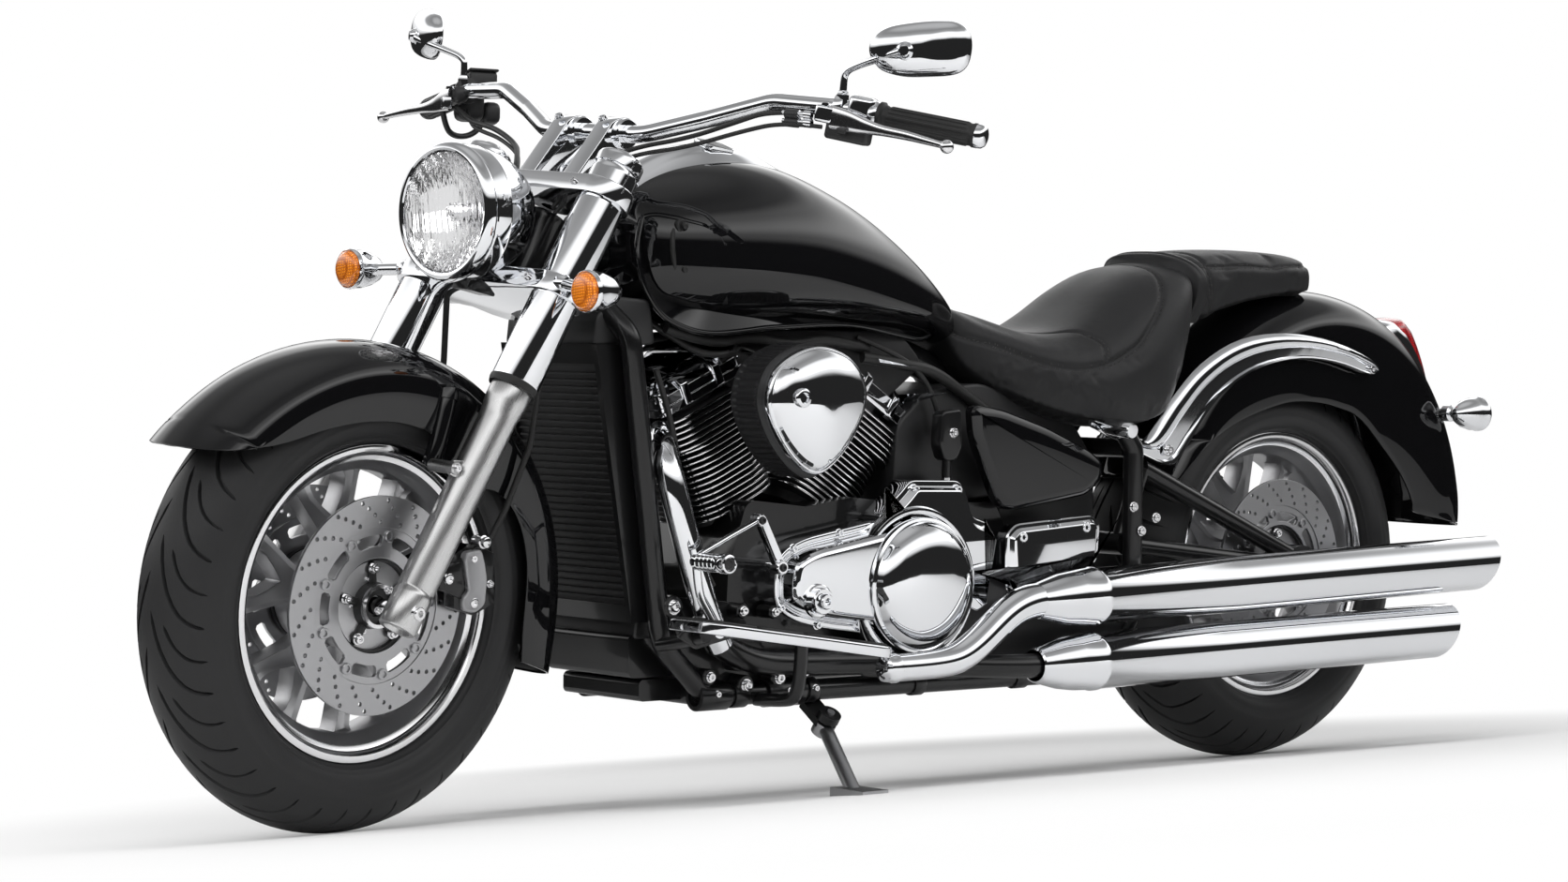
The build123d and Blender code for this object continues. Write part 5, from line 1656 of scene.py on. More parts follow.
def mirror_point(u, v):
    """A point of the left mirror's shell; u runs round its edge, v from the rim to the back."""
    x, z = smooth_loop(MIRROR_EDGE, u)
    share, rise = smooth_row(MIRROR_DOME, v)
    middle = 30
    out = MIRROR_ACROSS * (middle + (x - middle) * share * 0.86 - 18)
    return MIRROR_JOINT + out + MIRROR_UP * (z * share * 0.9) + MIRROR_BACK * (rise - 6)


def make_mirror_heads():
    """Chrome teardrop shells with their mirror glasses, each on a bent stem with a ball joint."""
    shell = skin("mirror_shells", 72, 36, mirror_point, closed=True)
    boss = turned("boss", [
        (-4, 14), (2, 14), (5, 12.5), (6, 11), (9, 10.5), (14, 7), (15, 0),
    ], MIRROR_JOINT + MIRROR_BACK * 6, MIRROR_BACK, MIRROR_UP, 32)
    stem = pipe("stem", [
        (396, -368, 1046), (396, -368, 1066), (398, -368, 1082), (430, -374, 1092), (470, -378, 1102),
        MIRROR_JOINT + MIRROR_BACK * 12,
    ], 5, 3, 16, [1.1, 1, 0.95, 1, 1.2, 1.5])
    sleeve = turned(
        "sleeve", [(0, 9), (20, 9), (21, 8), (24, 7.4), (26, 6)], (396, -368, 1030), UP, ACROSS, 6
    )
    shells = paired("mirror_shells", [shell, boss, stem, sleeve])
    dress(shells, chrome, "fork", ["mirrors"], 40)

    centre = MIRROR_JOINT + MIRROR_ACROSS * 10 - MIRROR_BACK * 24

    def pane(u, v):
        return centre + (mirror_point(u, 0.02) - centre) * (0.97 * v)

    glass_face = skin("mirror_panes", 72, 6, pane)
    modify(glass_face, "SOLIDIFY", thickness=1.5, offset=1)
    dress(mirrored(glass_face), mirror_silver, "fork", ["mirror_glasses"], 40)


BOX_WAY = (PERCH - BAR_KNEE).normalized()
CABLE_WAY = Vector((-1, -0.35, 0.05))


def make_left_controls():
    """The switch box, the clutch lever's perch and the cable ends on the left of the bar."""
    left = [
        brick("switch_box", (419, -351, 1030), BOX_WAY, UP, (38, 34, 38), 7),
        turned("collar", [(0, 14), (0, 18.5), (3, 20), (8, 20), (11, 18.5), (11, 13)], GRIP_ROOT, BOX_WAY,
               UP, 36),
        turned("clamp", [(0, 12.8), (0, 18), (2, 19), (10, 19), (12, 18), (12, 12.8)],
               (396, -362, 1031), BOX_WAY, UP, 36),
        brick("perch", (386, -388, 1022), BOX_WAY, UP, (28, 30, 24), 4),
        socket_bolt("pivot", (392, -398, 1034), UP, 5.5, 4),
    ]
    for z, y in ((1019, -405), (1008, -404)):
        left.append(turned("adjuster", [
            (0, 4), (0, 6.5), (10, 6.5), (11, 4.2), (16, 4.2), (17, 6), (26, 6), (27, 3.4), (42, 3.4),
        ], (374, y, z), CABLE_WAY, UP, 20))
    dress(joined("left_control_chrome", left), chrome, "fork", ["switch_housings"], 35)
    black = [
        brick("light_switch", (412, -369, 998), BOX_WAY, UP, (62, 34, 26), 5),
        brick("toggle", (420, -392, 1000), BOX_WAY, UP, (14, 12, 8), 2),
    ]
    for z, y in ((1019, -412), (1008, -411)):
        black.append(turned(
            "boot", [(0, 4.5), (0, 7.2), (18, 7.2), (20, 4.5)], (356, y, z), CABLE_WAY, UP, 18
        ))
    dress(joined("left_control_black", black), satin_black, "fork", smooth=35)


def make_right_controls():
    """The brake cylinder with its reservoir, the switches and the hose loop on the right of the bar."""
    away = Vector((-BOX_WAY.x, BOX_WAY.y, BOX_WAY.z))
    right = [
        brick("reservoir", (-402, -330, 1044), away, UP, (56, 44, 34), 6),
        brick("reservoir_lid", (-402, -330, 1062), away, UP, (58, 46, 4), 2),
        brick("cylinder", (-404, -372, 1024), away, UP, (54, 26, 26), 10),
        brick("bar_switch", (-420, -334, 1012), away, UP, (40, 44, 52), 12),
        brick("start_switch", (-410, -300, 1000), away, UP, (34, 30, 34), 10),
        turned("collar", [(0, 13), (0, 19), (3, 20), (9, 20), (11, 13)], (-398, -361, 1031), away, UP, 32),
        pipe("hose_loop", [(-424, -384, 1004), (-424, -376, 974), (-424, -356, 962), (-420, -330, 964),
                           (-416, -312, 978),
                           (-414, -306, 992)], 4.6, 3, 14),
    ]
    dress(joined("right_control_black", right), satin_black, "fork", smooth=35)
    chromed = [
        socket_bolt("pivot", (-392, -398, 1034), UP, 6, 4),
        brick("link", (-404, -394, 1012), away, UP, (20, 14, 18), 2),
    ]
    dress(joined("right_control_chrome", chromed), chrome, "fork", smooth=35)


def make_levers():
    """Flat-bladed levers that narrow, then swell into a ball end."""
    route = (
        (398, -392, 1018), (424, -386, 1014), (450, -378, 1008), (480, -372, 1003), (520, -368, 998),
        (556, -366, 992), (584, -363, 987)
    )
    widths = ((17, 5), (15, 5), (11, 5), (7.5, 5), (6.5, 4.6), (5.2, 4.2), (4.4, 4.2))

    def place(u, v):
        here, ahead = Vector(smooth_row(route, v)), Vector(smooth_row(route, min(1, v + 0.02)))
        way = (ahead - here).normalized() if v < 0.985 else Vector((1, 0.1, -0.18)).normalized()
        out = way.cross(UP).normalized()
        tall, deep = smooth_row(widths, v)
        angle = u * math.tau
        sideways = math.copysign(abs(math.cos(angle)) ** 0.7, math.cos(angle))
        upward = math.copysign(abs(math.sin(angle)) ** 0.8, math.sin(angle))
        return here + out * deep * sideways + UP * tall * upward

    blade = skin("lever_blades", 24, 48, place, closed=True)
    ball = side_turned(
        "ball", [(9.4 * -math.cos(a), 9.4 * math.sin(a)) for a in (math.pi * n / 16 for n in range(17))],
        (588, -362, 986), 28
    )
    dress(paired("lever_blades", [blade, ball]), polished_alloy, "fork", ["hand_levers"], 50)


def make_risers():
    """Two polished posts that rise from the top clamp and arch over the bar."""
    posts = []
    for x in (-46, 46):
        side = [
            (-556, 912), (-512, 898), (-474, 936), (-446, 958), (-434, 976), (-436, 992), (-448, 1002),
            (-466, 1004), (-486, 997), (-505, 972),
        ]
        posts.append(rounded(side_cover("post", eased(side, 9, 3), x - 16, 32), 3, 3, 40))
        posts.append(side_turned(
            "barrel", [(-24, 13), (-24, 20), (-22, 22), (22, 22), (24, 20), (24, 13)], (x, -462, 980), 48
        ))
        posts.append(socket_bolt("bolt", (x, -490, 998), Vector((0, -0.45, 0.9)).normalized(), 5.5, 6))
    dress(joined("riser_posts", posts), chrome, "fork", ["risers"], 35)


def make_cables():
    """The cables and the brake hose that run from the controls down behind the risers."""
    routes = (
        ("clutch_cable",
         [(352, -408, 1021), (316, -430, 1022), (270, -448, 1004), (190, -462, 978), (120, -506, 960),
          (70, -545, 925), (52, -585, 870)],
         3.4),
        ("left_switch_lead",
         [(388, -398, 1004), (340, -424, 1008), (282, -448, 992), (200, -470, 966), (126, -512, 950),
          (78, -548, 915), (60, -588, 862)],
         3.2),
        ("right_brake_hose",
         [(-398, -380, 1008), (-372, -378, 990), (-330, -396, 984), (-260, -420, 978), (-190, -440, 956),
          (-120, -500, 940), (-70, -548, 915), (-58, -590, 860)],
         4.2),
        ("throttle_cable",
         [(-404, -352, 1002), (-370, -372, 980), (-320, -392, 972), (-250, -420, 964), (-180, -446, 944),
          (-112, -505, 930), (-64, -552, 905), (-50, -590, 850)],
         3.2),
    )
    for name, points, radius in routes:
        dress(pipe(name, points, radius, 3, 12), black_rubber, "fork", smooth=60)


make_grips()
make_mirror_heads()
make_left_controls()
make_right_controls()
make_levers()
make_risers()
make_cables()


# ------------------------------------------------------------------ fork
LEG_X = 138
LEG_BACK = Vector((0, math.cos(RAKE), -math.sin(RAKE)))


def leg_point(along, side=0.0, back=0.0):
    """A point by its distance up the left fork leg, out to the side of it and behind it."""
    return FRONT_AXLE + ACROSS * (LEG_X + side) + STEM_UP * along + LEG_BACK * back


def make_fork_legs():
    """Brushed sliders with a clamped foot, in chrome covers under stepped caps."""
    foot = leg_point(0)
    slider = turned("fork_slider", [
        (-22, 0), (-22, 17), (-28, 19), (-28, 25), (-25, 27.4), (22, 27.4), (27, 26.9), (29, 25.6),
        (32, 25.6), (34, 26.6), (296, 26.6), (306, 27.4), (322, 29.4), (326, 29.8), (348, 29.8), (350, 29),
        (350, 0),
    ], foot, STEM_UP, ACROSS, 56)
    dress(mirrored(slider), brushed_alloy, "fork", ["fork_sliders"], 40)
    ring = turned(
        "fork_seal", [(344, 30), (344, 34), (350, 35.6), (354, 35.6), (354, 30)], foot, STEM_UP, ACROSS, 56
    )
    dress(mirrored(ring), black_rubber, "fork")
    sleeve = turned("fork_cover", [
        (353, 30), (353, 33.4), (355, 34.4), (688, 34.4), (692, 33.6), (694, 32), (697, 32), (699, 34.6),
        (711, 34.6), (715, 33.4), (718, 30), (718, 19), (722, 18), (725, 15), (725, 0),
    ], foot, STEM_UP, ACROSS, 56)
    dress(mirrored(sleeve), chrome, "fork", ["fork_covers"], 40)
    nuts = [socket_bolt("axle_nut", (158, FRONT_AXLE.y, FRONT_AXLE.z), ACROSS, 9.5, 12)]
    for along in (-17, 14):
        nuts.append(socket_bolt("pinch", leg_point(along, -14, -29), -LEG_BACK, 4.2, 6))
    dress(paired("fork_foot_bolts", nuts), polished_alloy, "fork")


def make_fork_clamps():
    """The two chrome clamps that hold the legs, with their pinch bolts."""
    eye_r = 41  # of the clamp round each leg
    turns = [math.radians(angle) for angle in range(-90, 100, 15)]
    half = [(LEG_X + eye_r * math.cos(turn), eye_r * math.sin(turn)) for turn in turns]
    half += [(96, 37), (70, 42), (46, 62), (24, 72)]
    outline = half + [(-u, v) for u, v in half[::-1]]
    plates = []
    for low, high in ((485, 513), (642, 668)):
        corner = FRONT_AXLE + STEM_UP * low
        plates.append(cover("clamp", outline, corner, ACROSS, LEG_BACK, high - low, [(2, 1), (6, -3)]))
    piece = joined("fork_clamp_pair", plates)
    rounded(piece, 1.4, 2, 40)
    dress(piece, chrome, "fork", ["fork_clamps"], 40)
    heads = [socket_bolt("head", leg_point(along, -24, -40), -LEG_BACK, 5, 6) for along in (499, 655)]
    dress(paired("fork_clamp_bolts", heads), polished_alloy, "fork")
    nut = turned("stem_nut", [
        (668, 0), (668, 22), (672, 22), (672, 17), (684, 17), (686, 14), (686, 0),
    ], FRONT_AXLE + LEG_BACK * 35, STEM_UP, ACROSS, 36)
    dress(nut, chrome, "fork")


def make_fender_lugs():
    """The silver gusset on each slider that carries the fender, with its round boss."""
    gusset = side_plate("fender_lug", [(-832, 507), (-826, 527), (-784, 524), (-796, 494)], 137, 7)
    rounded(gusset, 1.5)
    boss = side_turned("boss", [(-42, 0), (-42, 9), (8, 9), (10, 7.5), (10, 0)], (140, -825, 516), 28)
    dress(paired("fender_lugs", [gusset, boss]), brushed_alloy, "fork")
    dress(mirrored(socket_bolt("fender_lug_bolts", (149, -825, 516), ACROSS, 5, 5)), polished_alloy, "fork")


CALIPER = (  # Y, Z of the outer cover of the front caliper
    (-769, 396), (-741, 399), (-734, 381), (-728, 357), (-730, 321), (-748, 310), (-770, 315), (-773, 332),
    (-761, 341), (-772, 385),
)


def make_front_calipers():
    """Dark four-bolt calipers that straddle the front discs, each with a machined face and a hose bolt."""
    body = side_plate("front_caliper_body", [
        (-782, 318), (-784, 380), (-742, 404), (-712, 392), (-706, 322), (-745, 306),
    ], 86, 22)
    inner = copied(body, Matrix.Translation((-40, 0, 0)))
    bridge = side_plate("bridge", [(-742, 404), (-712, 392), (-706, 322), (-722, 316), (-728, 384)], 46, 60)
    arm = side_plate("arm", [(-812, 346), (-812, 372), (-770, 384), (-770, 330)], 100, 11)
    dark = joined("front_caliper_body", [body, inner, bridge, arm])
    rounded(dark, 2)
    dress(mirrored(dark), frame_black, "fork", ["front_calipers"])
    face = side_cover("front_caliper_face", eased(CALIPER, 7, 4), 104, 9, [(2, 2.5), (3.5, -1.2)])
    rounded(face, 0.9)
    dress(mirrored(face), caliper_grey, "fork", smooth=50)
    heads = [socket_bolt("head", (x, y, z), ACROSS, size, 5) for x, y, z, size in (
        (112, -751, 325, 7), (112, -755, 386, 5), (110, -797, 360, 7.5), (112, -722, 350, 4.5)
    )]
    dress(paired("front_caliper_bolts", heads), polished_alloy, "fork")
    banjo = side_turned("banjo", [
        (-14, 0), (-14, 8), (-4, 9.5), (5, 9.5), (6, 7.5), (12, 7.5), (13, 6), (13, 0),
    ], (104, -733, 408), 20)
    dress(mirrored(banjo), polished_alloy, "fork")


make_fork_legs()
make_fork_clamps()
make_fender_lugs()
make_front_calipers()


# ------------------------------------------------------------------ around the tank
TANK_RIM = (  # X, Y, Z of the rim under the tank, then of its upper edge inside the tank
    (72, -424, 872, 50, -398, 862), (86, -446, 842, 60, -408, 838), (98, -459, 806, 70, -416, 800),
    (106, -452, 760, 80, -410, 762), (112, -428, 722, 92, -390, 740), (118, -392, 702, 104, -372, 736),
    (122, -344, 693, 112, -336, 732), (124, -284, 697, 114, -280, 732), (122, -240, 702, 112, -240, 732),
    (116, -170, 706, 106, -170, 728), (108, -98, 709, 98, -98, 724), (98, -30, 706, 88, -30, 720),
    (86, 50, 694, 74, 50, 712), (70, 108, 688, 56, 104, 706), (54, 148, 699, 40, 138, 706),
)


def make_tank_rim():
    """The pressed flange round the foot of each tank half, with a rolled edge."""
    def place(u, v):
        row = smooth_row(TANK_RIM, v)
        return Vector(row[:3]).lerp(Vector(row[3:]), u)

    flange = skin("tank_flange", 6, 84, place)
    modify(flange, "SOLIDIFY", thickness=3, offset=0)
    edge = pipe("edge", [place(0, k / 40) for k in range(41)], 4.2, 3, 12)
    dress(paired("tank_flange", [flange, edge]), black_paint, "chassis", smooth=60)
    posts = []
    for y, z in ((-397, 846), (-396, 784)):
        posts.append(side_turned("post", [
            (-20, 0), (-20, 10), (4, 10), (6, 8), (6, 5), (12, 5), (13, 3.5), (13, 0),
        ], (118, y, z), 20))
    posts.append(pipe(
        "strap", ((110, -402, 850), (118, -412, 832), (121, -413, 800), (118, -404, 780)), 4, 3, 8
    ))
    dress(paired("tank_mounts", posts), black_rubber, "chassis")


def make_under_tank():
    """The black air box between the cylinders, with the hoses and leads beside it."""
    box = side_cover("air_box", eased(
        [(-300, 640), (-250, 700), (60, 700), (110, 650), (40, 600), (-20, 560), (-230, 580)], 22
    ), -78, 156, [(4, 2)])
    rounded(box, 3)
    dress(box, satin_black, "chassis")
    runs = (  # radius and points of each hose on the left side
        (8, ((96, -404, 700), (104, -330, 676), (100, -250, 690), (92, -170, 676), (90, -90, 690),
             (84, -10, 672))),
        (5, ((60, -420, 716), (84, -352, 668), (112, -310, 660), (104, -262, 676), (110, -200, 640))),
        (4, ((84, -30, 690), (110, 20, 668), (112, 70, 640), (104, 110, 600), (110, 124, 540))),
        (9, ((96, -30, 660), (112, 40, 650), (104, 110, 640), (90, 190, 600), (96, 260, 560))),
        (4.5, ((120, -440, 640), (126, -410, 560), (120, -398, 480), (124, -380, 400), (132, -340, 330))),
        (7, ((128, -420, 470), (138, -398, 380), (146, -372, 320), (140, -330, 260))),
    )
    tubes = [pipe("hose", points, radius, 3, 12) for radius, points in runs]
    dress(paired("under_tank_hoses", tubes), black_rubber, "chassis", smooth=60)


make_tank_rim()
make_under_tank()


# ------------------------------------------------------------------ tail lamp
def lamp_bump(name, half, low, high, floor_r, heights):
    """A rounded wedge standing on the rear fender between two angles up from the rear."""
    def place(u, v):
        across, step = 2 * u - 1, v * (len(heights) - 1)
        k = min(int(step), len(heights) - 2)
        lift = heights[k] + (heights[k + 1] - heights[k]) * (step - k)
        angle = math.radians(low + (high - low) * v)
        rounding = (1 - abs(across) ** 9) ** 0.4, (1 - abs(2 * v - 1) ** 12) ** 0.4
        radius = floor_r - 10 * across ** 2 + lift * rounding[0] * rounding[1]
        out = ALONG * math.cos(angle) + UP * math.sin(angle)
        return ARCH_CENTRE + ACROSS * across * half + out * radius

    return skin(name, 40, 40, place)


def make_tail_lamp():
    dress(lamp_bump(
        "tail_lamp_bezel", 61, 31, 60, 356, [18, 24, 30, 35, 39, 34, 16]
    ), chrome, "chassis", smooth=40)
    lens = lamp_bump("tail_lamp_lens", 56, 33, 56, 358, [20, 29, 37, 45, 52, 52, 26])
    dress(lens, red_lens, "chassis", ["tail_lamp"], 40)


make_tail_lamp()


# ------------------------------------------------------------------ feet
def make_toe_pegs():
    """The ringed peg, its stay and the gear lever with its rod."""
    steps = [(0, 0), (0, 9), (4, 9), (6, 12.5), (12, 12.5)]
    for ring in range(5):
        steps += [(15 + ring * 9, 12.9), (16 + ring * 9, 11.8), (17 + ring * 9, 12.9)]
    steps += [(62, 12.9), (64, 14.2), (74, 14.2), (78, 13), (79, 10.5), (77, 9), (77, 0)]
    peg = side_turned("toe_peg", steps, (222, -447, 374), 32)
    stay = pipe("stay", ((226, -447, 374), (226, -444, 330), (226, -424, 300), (226, -410, 278)), 6.5)
    foot = side_turned("foot", [(-12, 0), (-12, 11), (12, 11), (12, 0)], (226, -412, 276), 24)
    arm = side_plate("arm", eased(
        [(-300, 432), (-286, 436), (-245, 362), (-243, 350), (-257, 350), (-262, 360)], 7, 4
    ), 169, 12, 4, 2)
    rounded(arm, 1.4)
    hubs = [side_turned("hub", [(-8, 0), (-8, size), (8, size), (9.5, size - 1.5), (9.5, 0)], (175, y, z), 28)
            for y, z, size in ((-293, 426, 9), (-253, 357, 10.5))]
    shaft = side_turned("shaft", [(0, 0), (0, 8.5), (56, 8.5), (56, 0)], (112, -251, 359), 24)
    rod = pipe("rod", [(178, -293, 427), (200, -370, 404), (222, -445, 380)], 4)
    group = [peg, stay, foot, arm, *hubs, shaft, rod]
    rear = turned("rear_peg", [
        (0, 0), (0, 9), (6, 11), (10, 13), (58, 13), (62, 11), (62, 0),
    ], (150, 428, 556), Vector((1, 0, -0.1)).normalized(), UP, 28)
    dress(paired("foot_controls", group + [rear]), chrome, "chassis", ["foot_pegs"], 40)
    heads = side_bolts(184, ((-293, 426), (-253, 357)), 5, 4)
    heads.append(side_turned(
        "peg_end", [(0, 0), (0, 8.6), (1.6, 8.6), (2, 5), (0.8, 4), (0.8, 0)], (299, -447, 374), 24
    ))
    dress(paired("foot_control_bolts", heads), satin_black, "chassis")


def make_floorboards():
    """A chrome-edged board on each side, with a ribbed rubber tread and its bracket."""
    down = Vector((0, 345, -50)).normalized()
    rise = ACROSS.cross(down).normalized()
    corner = Vector((0, -507, 282))
    outline = eased([(226, 0), (318, 0), (333, 22), (333, 330), (322, 347), (238, 347), (226, 330)], 26, 6)
    board = cover("floorboard", outline, corner, ACROSS, down, 15, [(3, 1.5), (3, -2.5)])
    rounded(board, 1.8, 3, 40)
    bracket = side_plate("bracket", [
        (-470, 268), (-440, 296), (-380, 286), (-200, 252), (-200, 240), (-380, 262), (-440, 250),
    ], 212, 9)
    rods = [pipe("rod", points, 10, 3, 16) for points in (
        ((138, -440, 250), (190, -440, 258), (240, -440, 270)),
        ((138, -262, 164), (200, -262, 166), (236, -262, 176), (238, -262, 250)))]
    dress(paired("floorboards_chromed", [board]), chrome, "chassis", ["floorboards"], 40)
    dress(paired("floorboard_brackets", [rounded(bracket, 1.5), *rods]), frame_black, "chassis")
    pads = []
    for front, rear in ((12, 92), (98, 178), (184, 264), (270, 336)):
        pad = cover("pad", eased(
            [(236, front), (325, front), (325, rear), (236, rear)], 8, 3
        ), corner + rise * 14, ACROSS, down, 4, [(1.2, 1.4)])
        pads.append(pad)
        count = int((rear - front) / 8)
        for rib in range(1, count):
            at = front + rib * (rear - front) / count
            pads.append(plate("rib", [(242, at - 1.5), (319, at - 1.5), (319, at + 1.5), (242, at + 1.5)],
                              corner + rise * 18.6, ACROSS, down, 1.6))
    dress(paired("floorboard_pads", pads), black_rubber, "chassis", ["board_pads"])


make_toe_pegs()
make_floorboards()


# ------------------------------------------------------------------ frame fittings
def make_frame_fittings():
    """Bosses, bolts, clamp sleeves and small brackets low on the frame."""
    places = (  # Y, Z and boss radius of the left side's bolts
        (-303, 220, 13), (-357, 201, 12), (-290, 186, 15), (-228, 194, 14), (-425, 304, 17), (-297, 294, 11),
        (-238, 290, 10), (-180, 200, 11),
    )
    bosses, heads = [], []
    for y, z, size in places:
        bosses.append(side_turned(
            "boss", [(-34, 0), (-34, size), (-5, size), (-3, size - 1.5), (-3, 0)], (152, y, z), 28
        ))
        heads.append(socket_bolt("head", (149, y, z), ACROSS, size * 0.52, 6))
    side = side_plate(
        "engine_plate", eased([(-420, 318), (-300, 306), (-210, 212), (-218, 182), (-372, 186)], 16), 118, 6
    )
    bosses.append(rounded(side, 1.5))
    for start, end, size in (
        (-372, -316, 21), (-308, -282, 19.5), (-246, -176, 21.5), (-168, -150, 19.5), (40, 62, 19),
        (250, 276, 19)
    ):
        bosses.append(turned("sleeve", [
            (start, 14), (start, size - 1), (start + 1.5, size), (end - 1.5, size), (end, size - 1), (end, 14)
        ], (132, 0, 172), ALONG, UP, 32, closed=True))
    heads += side_bolts(150, ((-345, 176), (-212, 176), (-160, 176)), 4.5, 6)
    pod = side_cover("pod", eased(
        [(84, 580), (122, 584), (126, 528), (114, 506), (90, 506), (80, 530)], 8
    ), 128, 22, [(3, 2)])
    bosses.append(rounded(pod, 1.5))
    bosses.append(turned("rod", [(0, 0), (0, 7), (70, 7), (70, 0)], (140, 103, 440), UP, ACROSS, 20))
    heads.append(socket_bolt("head", (152, 105, 548), ACROSS, 6.5, 6))
    heads.append(turned("thread", [(0, 0), (0, 8.4), (10, 8.4), (10, 0)], (140, 103, 470), UP, ACROSS, 6))
    dress(paired("frame_fittings", bosses), frame_black, "chassis")
    dress(paired("frame_bolts", heads), polished_alloy, "chassis")
    rear = side_bolts(172, ((470, 430), (488, 392), (520, 412)), 6.5, 6)
    dress(paired("swingarm_bolts", rear), polished_alloy, "chassis")


make_frame_fittings()


def bent(points, ease):
    """Points of a tube's middle, with two more at each bend so that its runs stay straight."""
    points = [Vector(point) for point in points]
    run = [points[0]]
    for before, corner, after in zip(points, points[1:], points[2:]):
        reach = min(ease, (before - corner).length / 2.1, (after - corner).length / 2.1)
        run += [
            corner + (before - corner).normalized() * reach, corner,
            corner + (after - corner).normalized() * reach,
        ]
    return run + [points[-1]]


def make_frame():
    """The double cradle frame with its head tube, backbone, crossbars and stand lug."""
    head = FRONT_AXLE + LEG_BACK * 35
    tubes = [turned("head_tube", [
        (519, 14.5), (519, 31), (524, 32), (530, 30), (624, 30), (630, 32), (635, 31), (635, 14.5),
    ], head, STEM_UP, ACROSS, 40, closed=True)]
    top = head + STEM_UP * 635
    tubes.append(pipe(
        "backbone", bent([(0, top.y + 20, top.z - 50), (0, -300, 800), (0, 60, 690), (0, 420, 560)], 90), 24
    ))
    cradle = pipe("cradle", bent([
        (0, -572, 796), (75, -524, 748), (132, -496, 690), (132, -434, 249), (132, -350, 172),
        (132, 400, 172), (155, 486, 250), (155, 486, 520), (151, 470, 545),
    ], 60), 16, 3, 16)
    pivot, pivot_way, lug_up = Vector((160, -150, 120)), Vector((0.5565, 0, 0.831)), Vector((-0.831, 0,
        0.5565))
    lug = turned("stand_lug", [(13, 0), (13, 17), (25, 17), (25, 0)], pivot, pivot_way, ALONG, 32)
    arm = plate("arm", [(-17, 0), (17, 0), (17, 46), (-17, 46)], pivot + pivot_way * 13, ALONG, lug_up, -12)
    tubes += [cradle, copied(cradle, Matrix.Scale(-1, 4, ACROSS)), lug, arm]
    for y, z in ((486, 520), (-350, 172), (330, 172)):
        tubes.append(side_turned("bar", [(-142, 0), (-142, 15), (142, 15), (142, 0)], (0, y, z), 24))
    dress(joined("frame_tubes", tubes), frame_black, "chassis", ["frame_cradle"], 60)


def make_inner_boxes():
    """The black battery case behind the engine, the exhaust hanger and the duct over the radiator."""
    battery = side_cover("battery_case", eased([
        (40, 420), (50, 560), (110, 610), (220, 622), (420, 560), (468, 500), (468, 260), (270, 250),
        (262, 450),
    ], 18), -86, 172, [(5, 2)])
    inner = mirrored(side_cover("inner", eased([
        (-90, 226), (10, 262), (120, 330), (330, 336), (470, 330), (470, 190), (100, 176), (-80, 190),
    ], 14), 150, 10, [(4, 2)]))
    duct = side_cover("duct", eased([
        (-541, 672), (-536, 716), (-500, 744), (-440, 740), (-430, 676),
    ], 10), -104, 208, [(4, 2)])
    sill = side_cover(
        "sill", eased([(-458, 256), (-452, 300), (-412, 300), (-408, 256)], 8), -98, 196, [(3, 2)]
    )
    for piece in (battery, inner, duct, sill):
        rounded(piece, 1.6)
    dress(joined("inner_boxes", [battery, inner, duct, sill]), satin_black, "chassis")


make_frame()
make_inner_boxes()


# ------------------------------------------------------------------ studio
WHITE = (1, 1, 1, 1)
FLOOR_CENTRE, FLOOR_RADIUS = (-1.6, 1.3, 0), 5.0
FADE_CENTRE, FADE_TURN, FADE_SIZE = (0.68, -0.53, 0), (0, 0, 2.442), (4.0, 1.9,
                                                                      1)  # the oval where it turns white


def seen_directly(tree):
    """1 for a ray from the camera, straight or through glass."""
    path = tree.nodes.new("ShaderNodeLightPath")
    seen = node(tree, "Math", [
        (0, path.outputs["Is Camera Ray"]), (1, path.outputs["Is Transmission Ray"]),
    ], operation="MAXIMUM")
    return path, seen.outputs[0]


def add_floor():
    """A pale floor that runs out to white round an oval."""
    bpy.ops.object.select_all(action="DESELECT")
    bpy.ops.mesh.primitive_circle_add(
        vertices=96, radius=FLOOR_RADIUS, fill_type="NGON", location=FLOOR_CENTRE
    )
    floor = bpy.context.object
    floor.name = "floor"
    paint = Finish("floor_paint", Roughness=0.9).mottled((0.66, 0.66, 0.66), 1.5, 0.01, 0.9, 0.05)
    tree = paint.tree
    oval = node(tree, "Mapping", [
        ("Vector", paint.place), ("Location", FADE_CENTRE), ("Rotation", FADE_TURN), ("Scale", FADE_SIZE),
    ], vector_type="TEXTURE")
    reach = node(tree, "VectorMath", [(0, oval.outputs[0])], operation="LENGTH")
    fade = node(tree, "MapRange", [
        ("Value", reach.outputs["Value"]), ("From Min", 0.45), ("From Max", 1.0),
    ], interpolation_type="SMOOTHSTEP")
    seen = seen_directly(tree)[1]
    share = node(tree, "Math", [(0, fade.outputs[0]), (1, seen)], operation="MULTIPLY")
    white = node(tree, "Emission", [("Color", WHITE)])
    mix = node(tree, "MixShader", [
        (0, share.outputs[0]), (1, paint.shader.outputs[0]), (2, white.outputs[0]),
    ])
    tree.links.new(mix.outputs[0], tree.nodes["Material Output"].inputs["Surface"])
    floor.data.materials.append(paint.material)


ROOM_SHADES = (  # height of the way looked along, from 0 down to 1 up, and its shade for reflections
    (0.0, 0.008), (1.0, 0.22), (0.2, 0.008), (0.3, 0.4), (0.42, 0.9), (0.58, 0.5), (0.7, 0.16), (0.85, 0.12),
)
ROOM_GAIN, ROOM_LIGHT = 2.4, 0.42


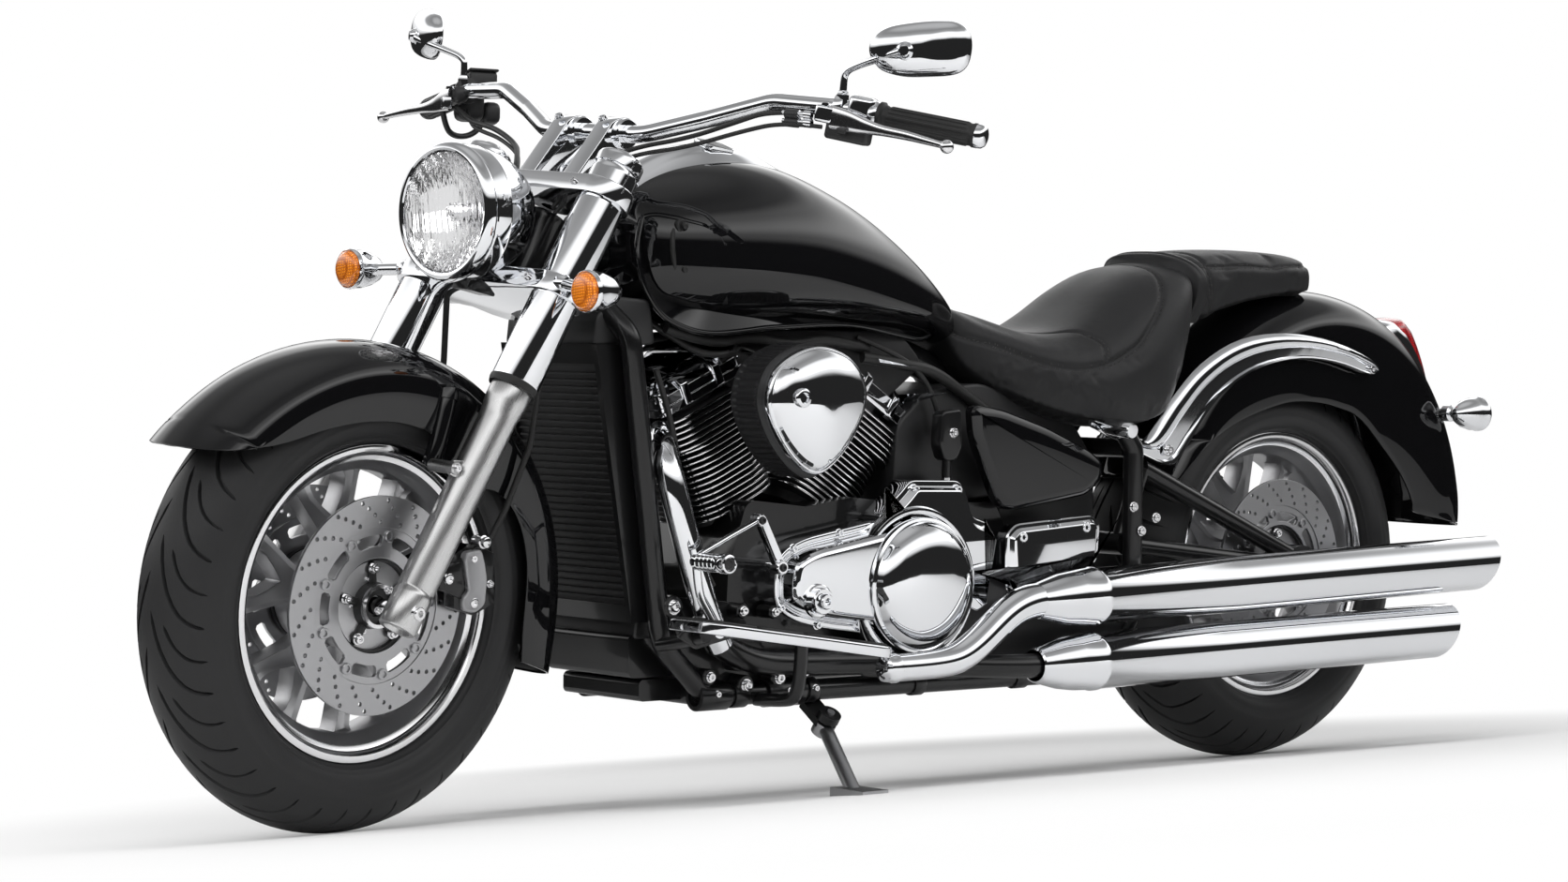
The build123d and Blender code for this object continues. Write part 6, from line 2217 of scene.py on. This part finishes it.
def add_room():
    """A room that is white to look at, even for soft light and banded for reflections."""
    world = bpy.data.worlds.new("room")
    bpy.context.scene.world = world
    world.use_nodes = True
    tree = world.node_tree
    path, seen = seen_directly(tree)
    way = node(tree, "TexCoord")
    height = node(tree, "SeparateXYZ", [("Vector", way.outputs["Generated"])])
    walls = node(tree, "ValToRGB", [("Fac", height.outputs["Z"])])
    ramp = walls.color_ramp
    ramp.interpolation = "EASE"
    (low, low_shade), (high, high_shade), *between = ROOM_SHADES
    ramp.elements[0].position, ramp.elements[0].color = low, (low_shade, low_shade, low_shade, 1)
    ramp.elements[1].position, ramp.elements[1].color = high, (high_shade, high_shade, high_shade, 1)
    for position, shade in between:
        ramp.elements.new(position).color = (shade, shade, shade, 1)
    bright = node(tree, "VectorMath", [(0, walls.outputs[0]), ("Scale", ROOM_GAIN)], operation="SCALE")
    lit = node(tree, "RGB")
    lit.outputs[0].default_value = (ROOM_LIGHT, ROOM_LIGHT, ROOM_LIGHT, 1)
    glossy = node(tree, "Mix", [
        ("Factor", path.outputs["Is Glossy Ray"]), ("A", lit.outputs[0]), ("B", bright.outputs[0]),
    ], data_type="RGBA")
    final = node(tree, "Mix", [("Factor", seen)], data_type="RGBA")
    tree.links.new(glossy.outputs["Result"], final.inputs["A"])
    final.inputs["B"].default_value = WHITE
    tree.links.new(final.outputs["Result"], tree.nodes["Background"].inputs["Color"])


def add_lamps():
    """Soft lamps that reflections do not show."""
    lamps = (  # name, place, aimed at, width, height, power
        ("overhead_softbox", (1.1, -0.7, 3.4), (-0.3, 0.2, 0), 2.4, 3.0, 100),
        ("left_softbox", (3.6, 0.9, 1.9), (0, 0.2, 0.5), 2.2, 2.0, 62),
        ("front_softbox", (1.2, -3.9, 1.7), (0, -0.4, 0.5), 1.6, 2.0, 60),
        ("far_softbox", (-3.4, 0.4, 2.0), (0, 0, 0.6), 2.6, 1.6, 45),
    )
    for name, place, aim, wide, tall, power in lamps:
        data = bpy.data.lights.new(name, "AREA")
        data.shape, data.size, data.size_y, data.energy = "RECTANGLE", wide, tall, power
        lamp = bpy.data.objects.new(name, data)
        bpy.context.scene.collection.objects.link(lamp)
        lamp.location = place
        lamp.visible_glossy = False
        lamp.rotation_euler = (Vector(aim) - Vector(place)).to_track_quat("-Z", "Y").to_euler()


add_floor()
add_room()
add_lamps()
bpy.context.scene.view_settings.view_transform = "Standard"
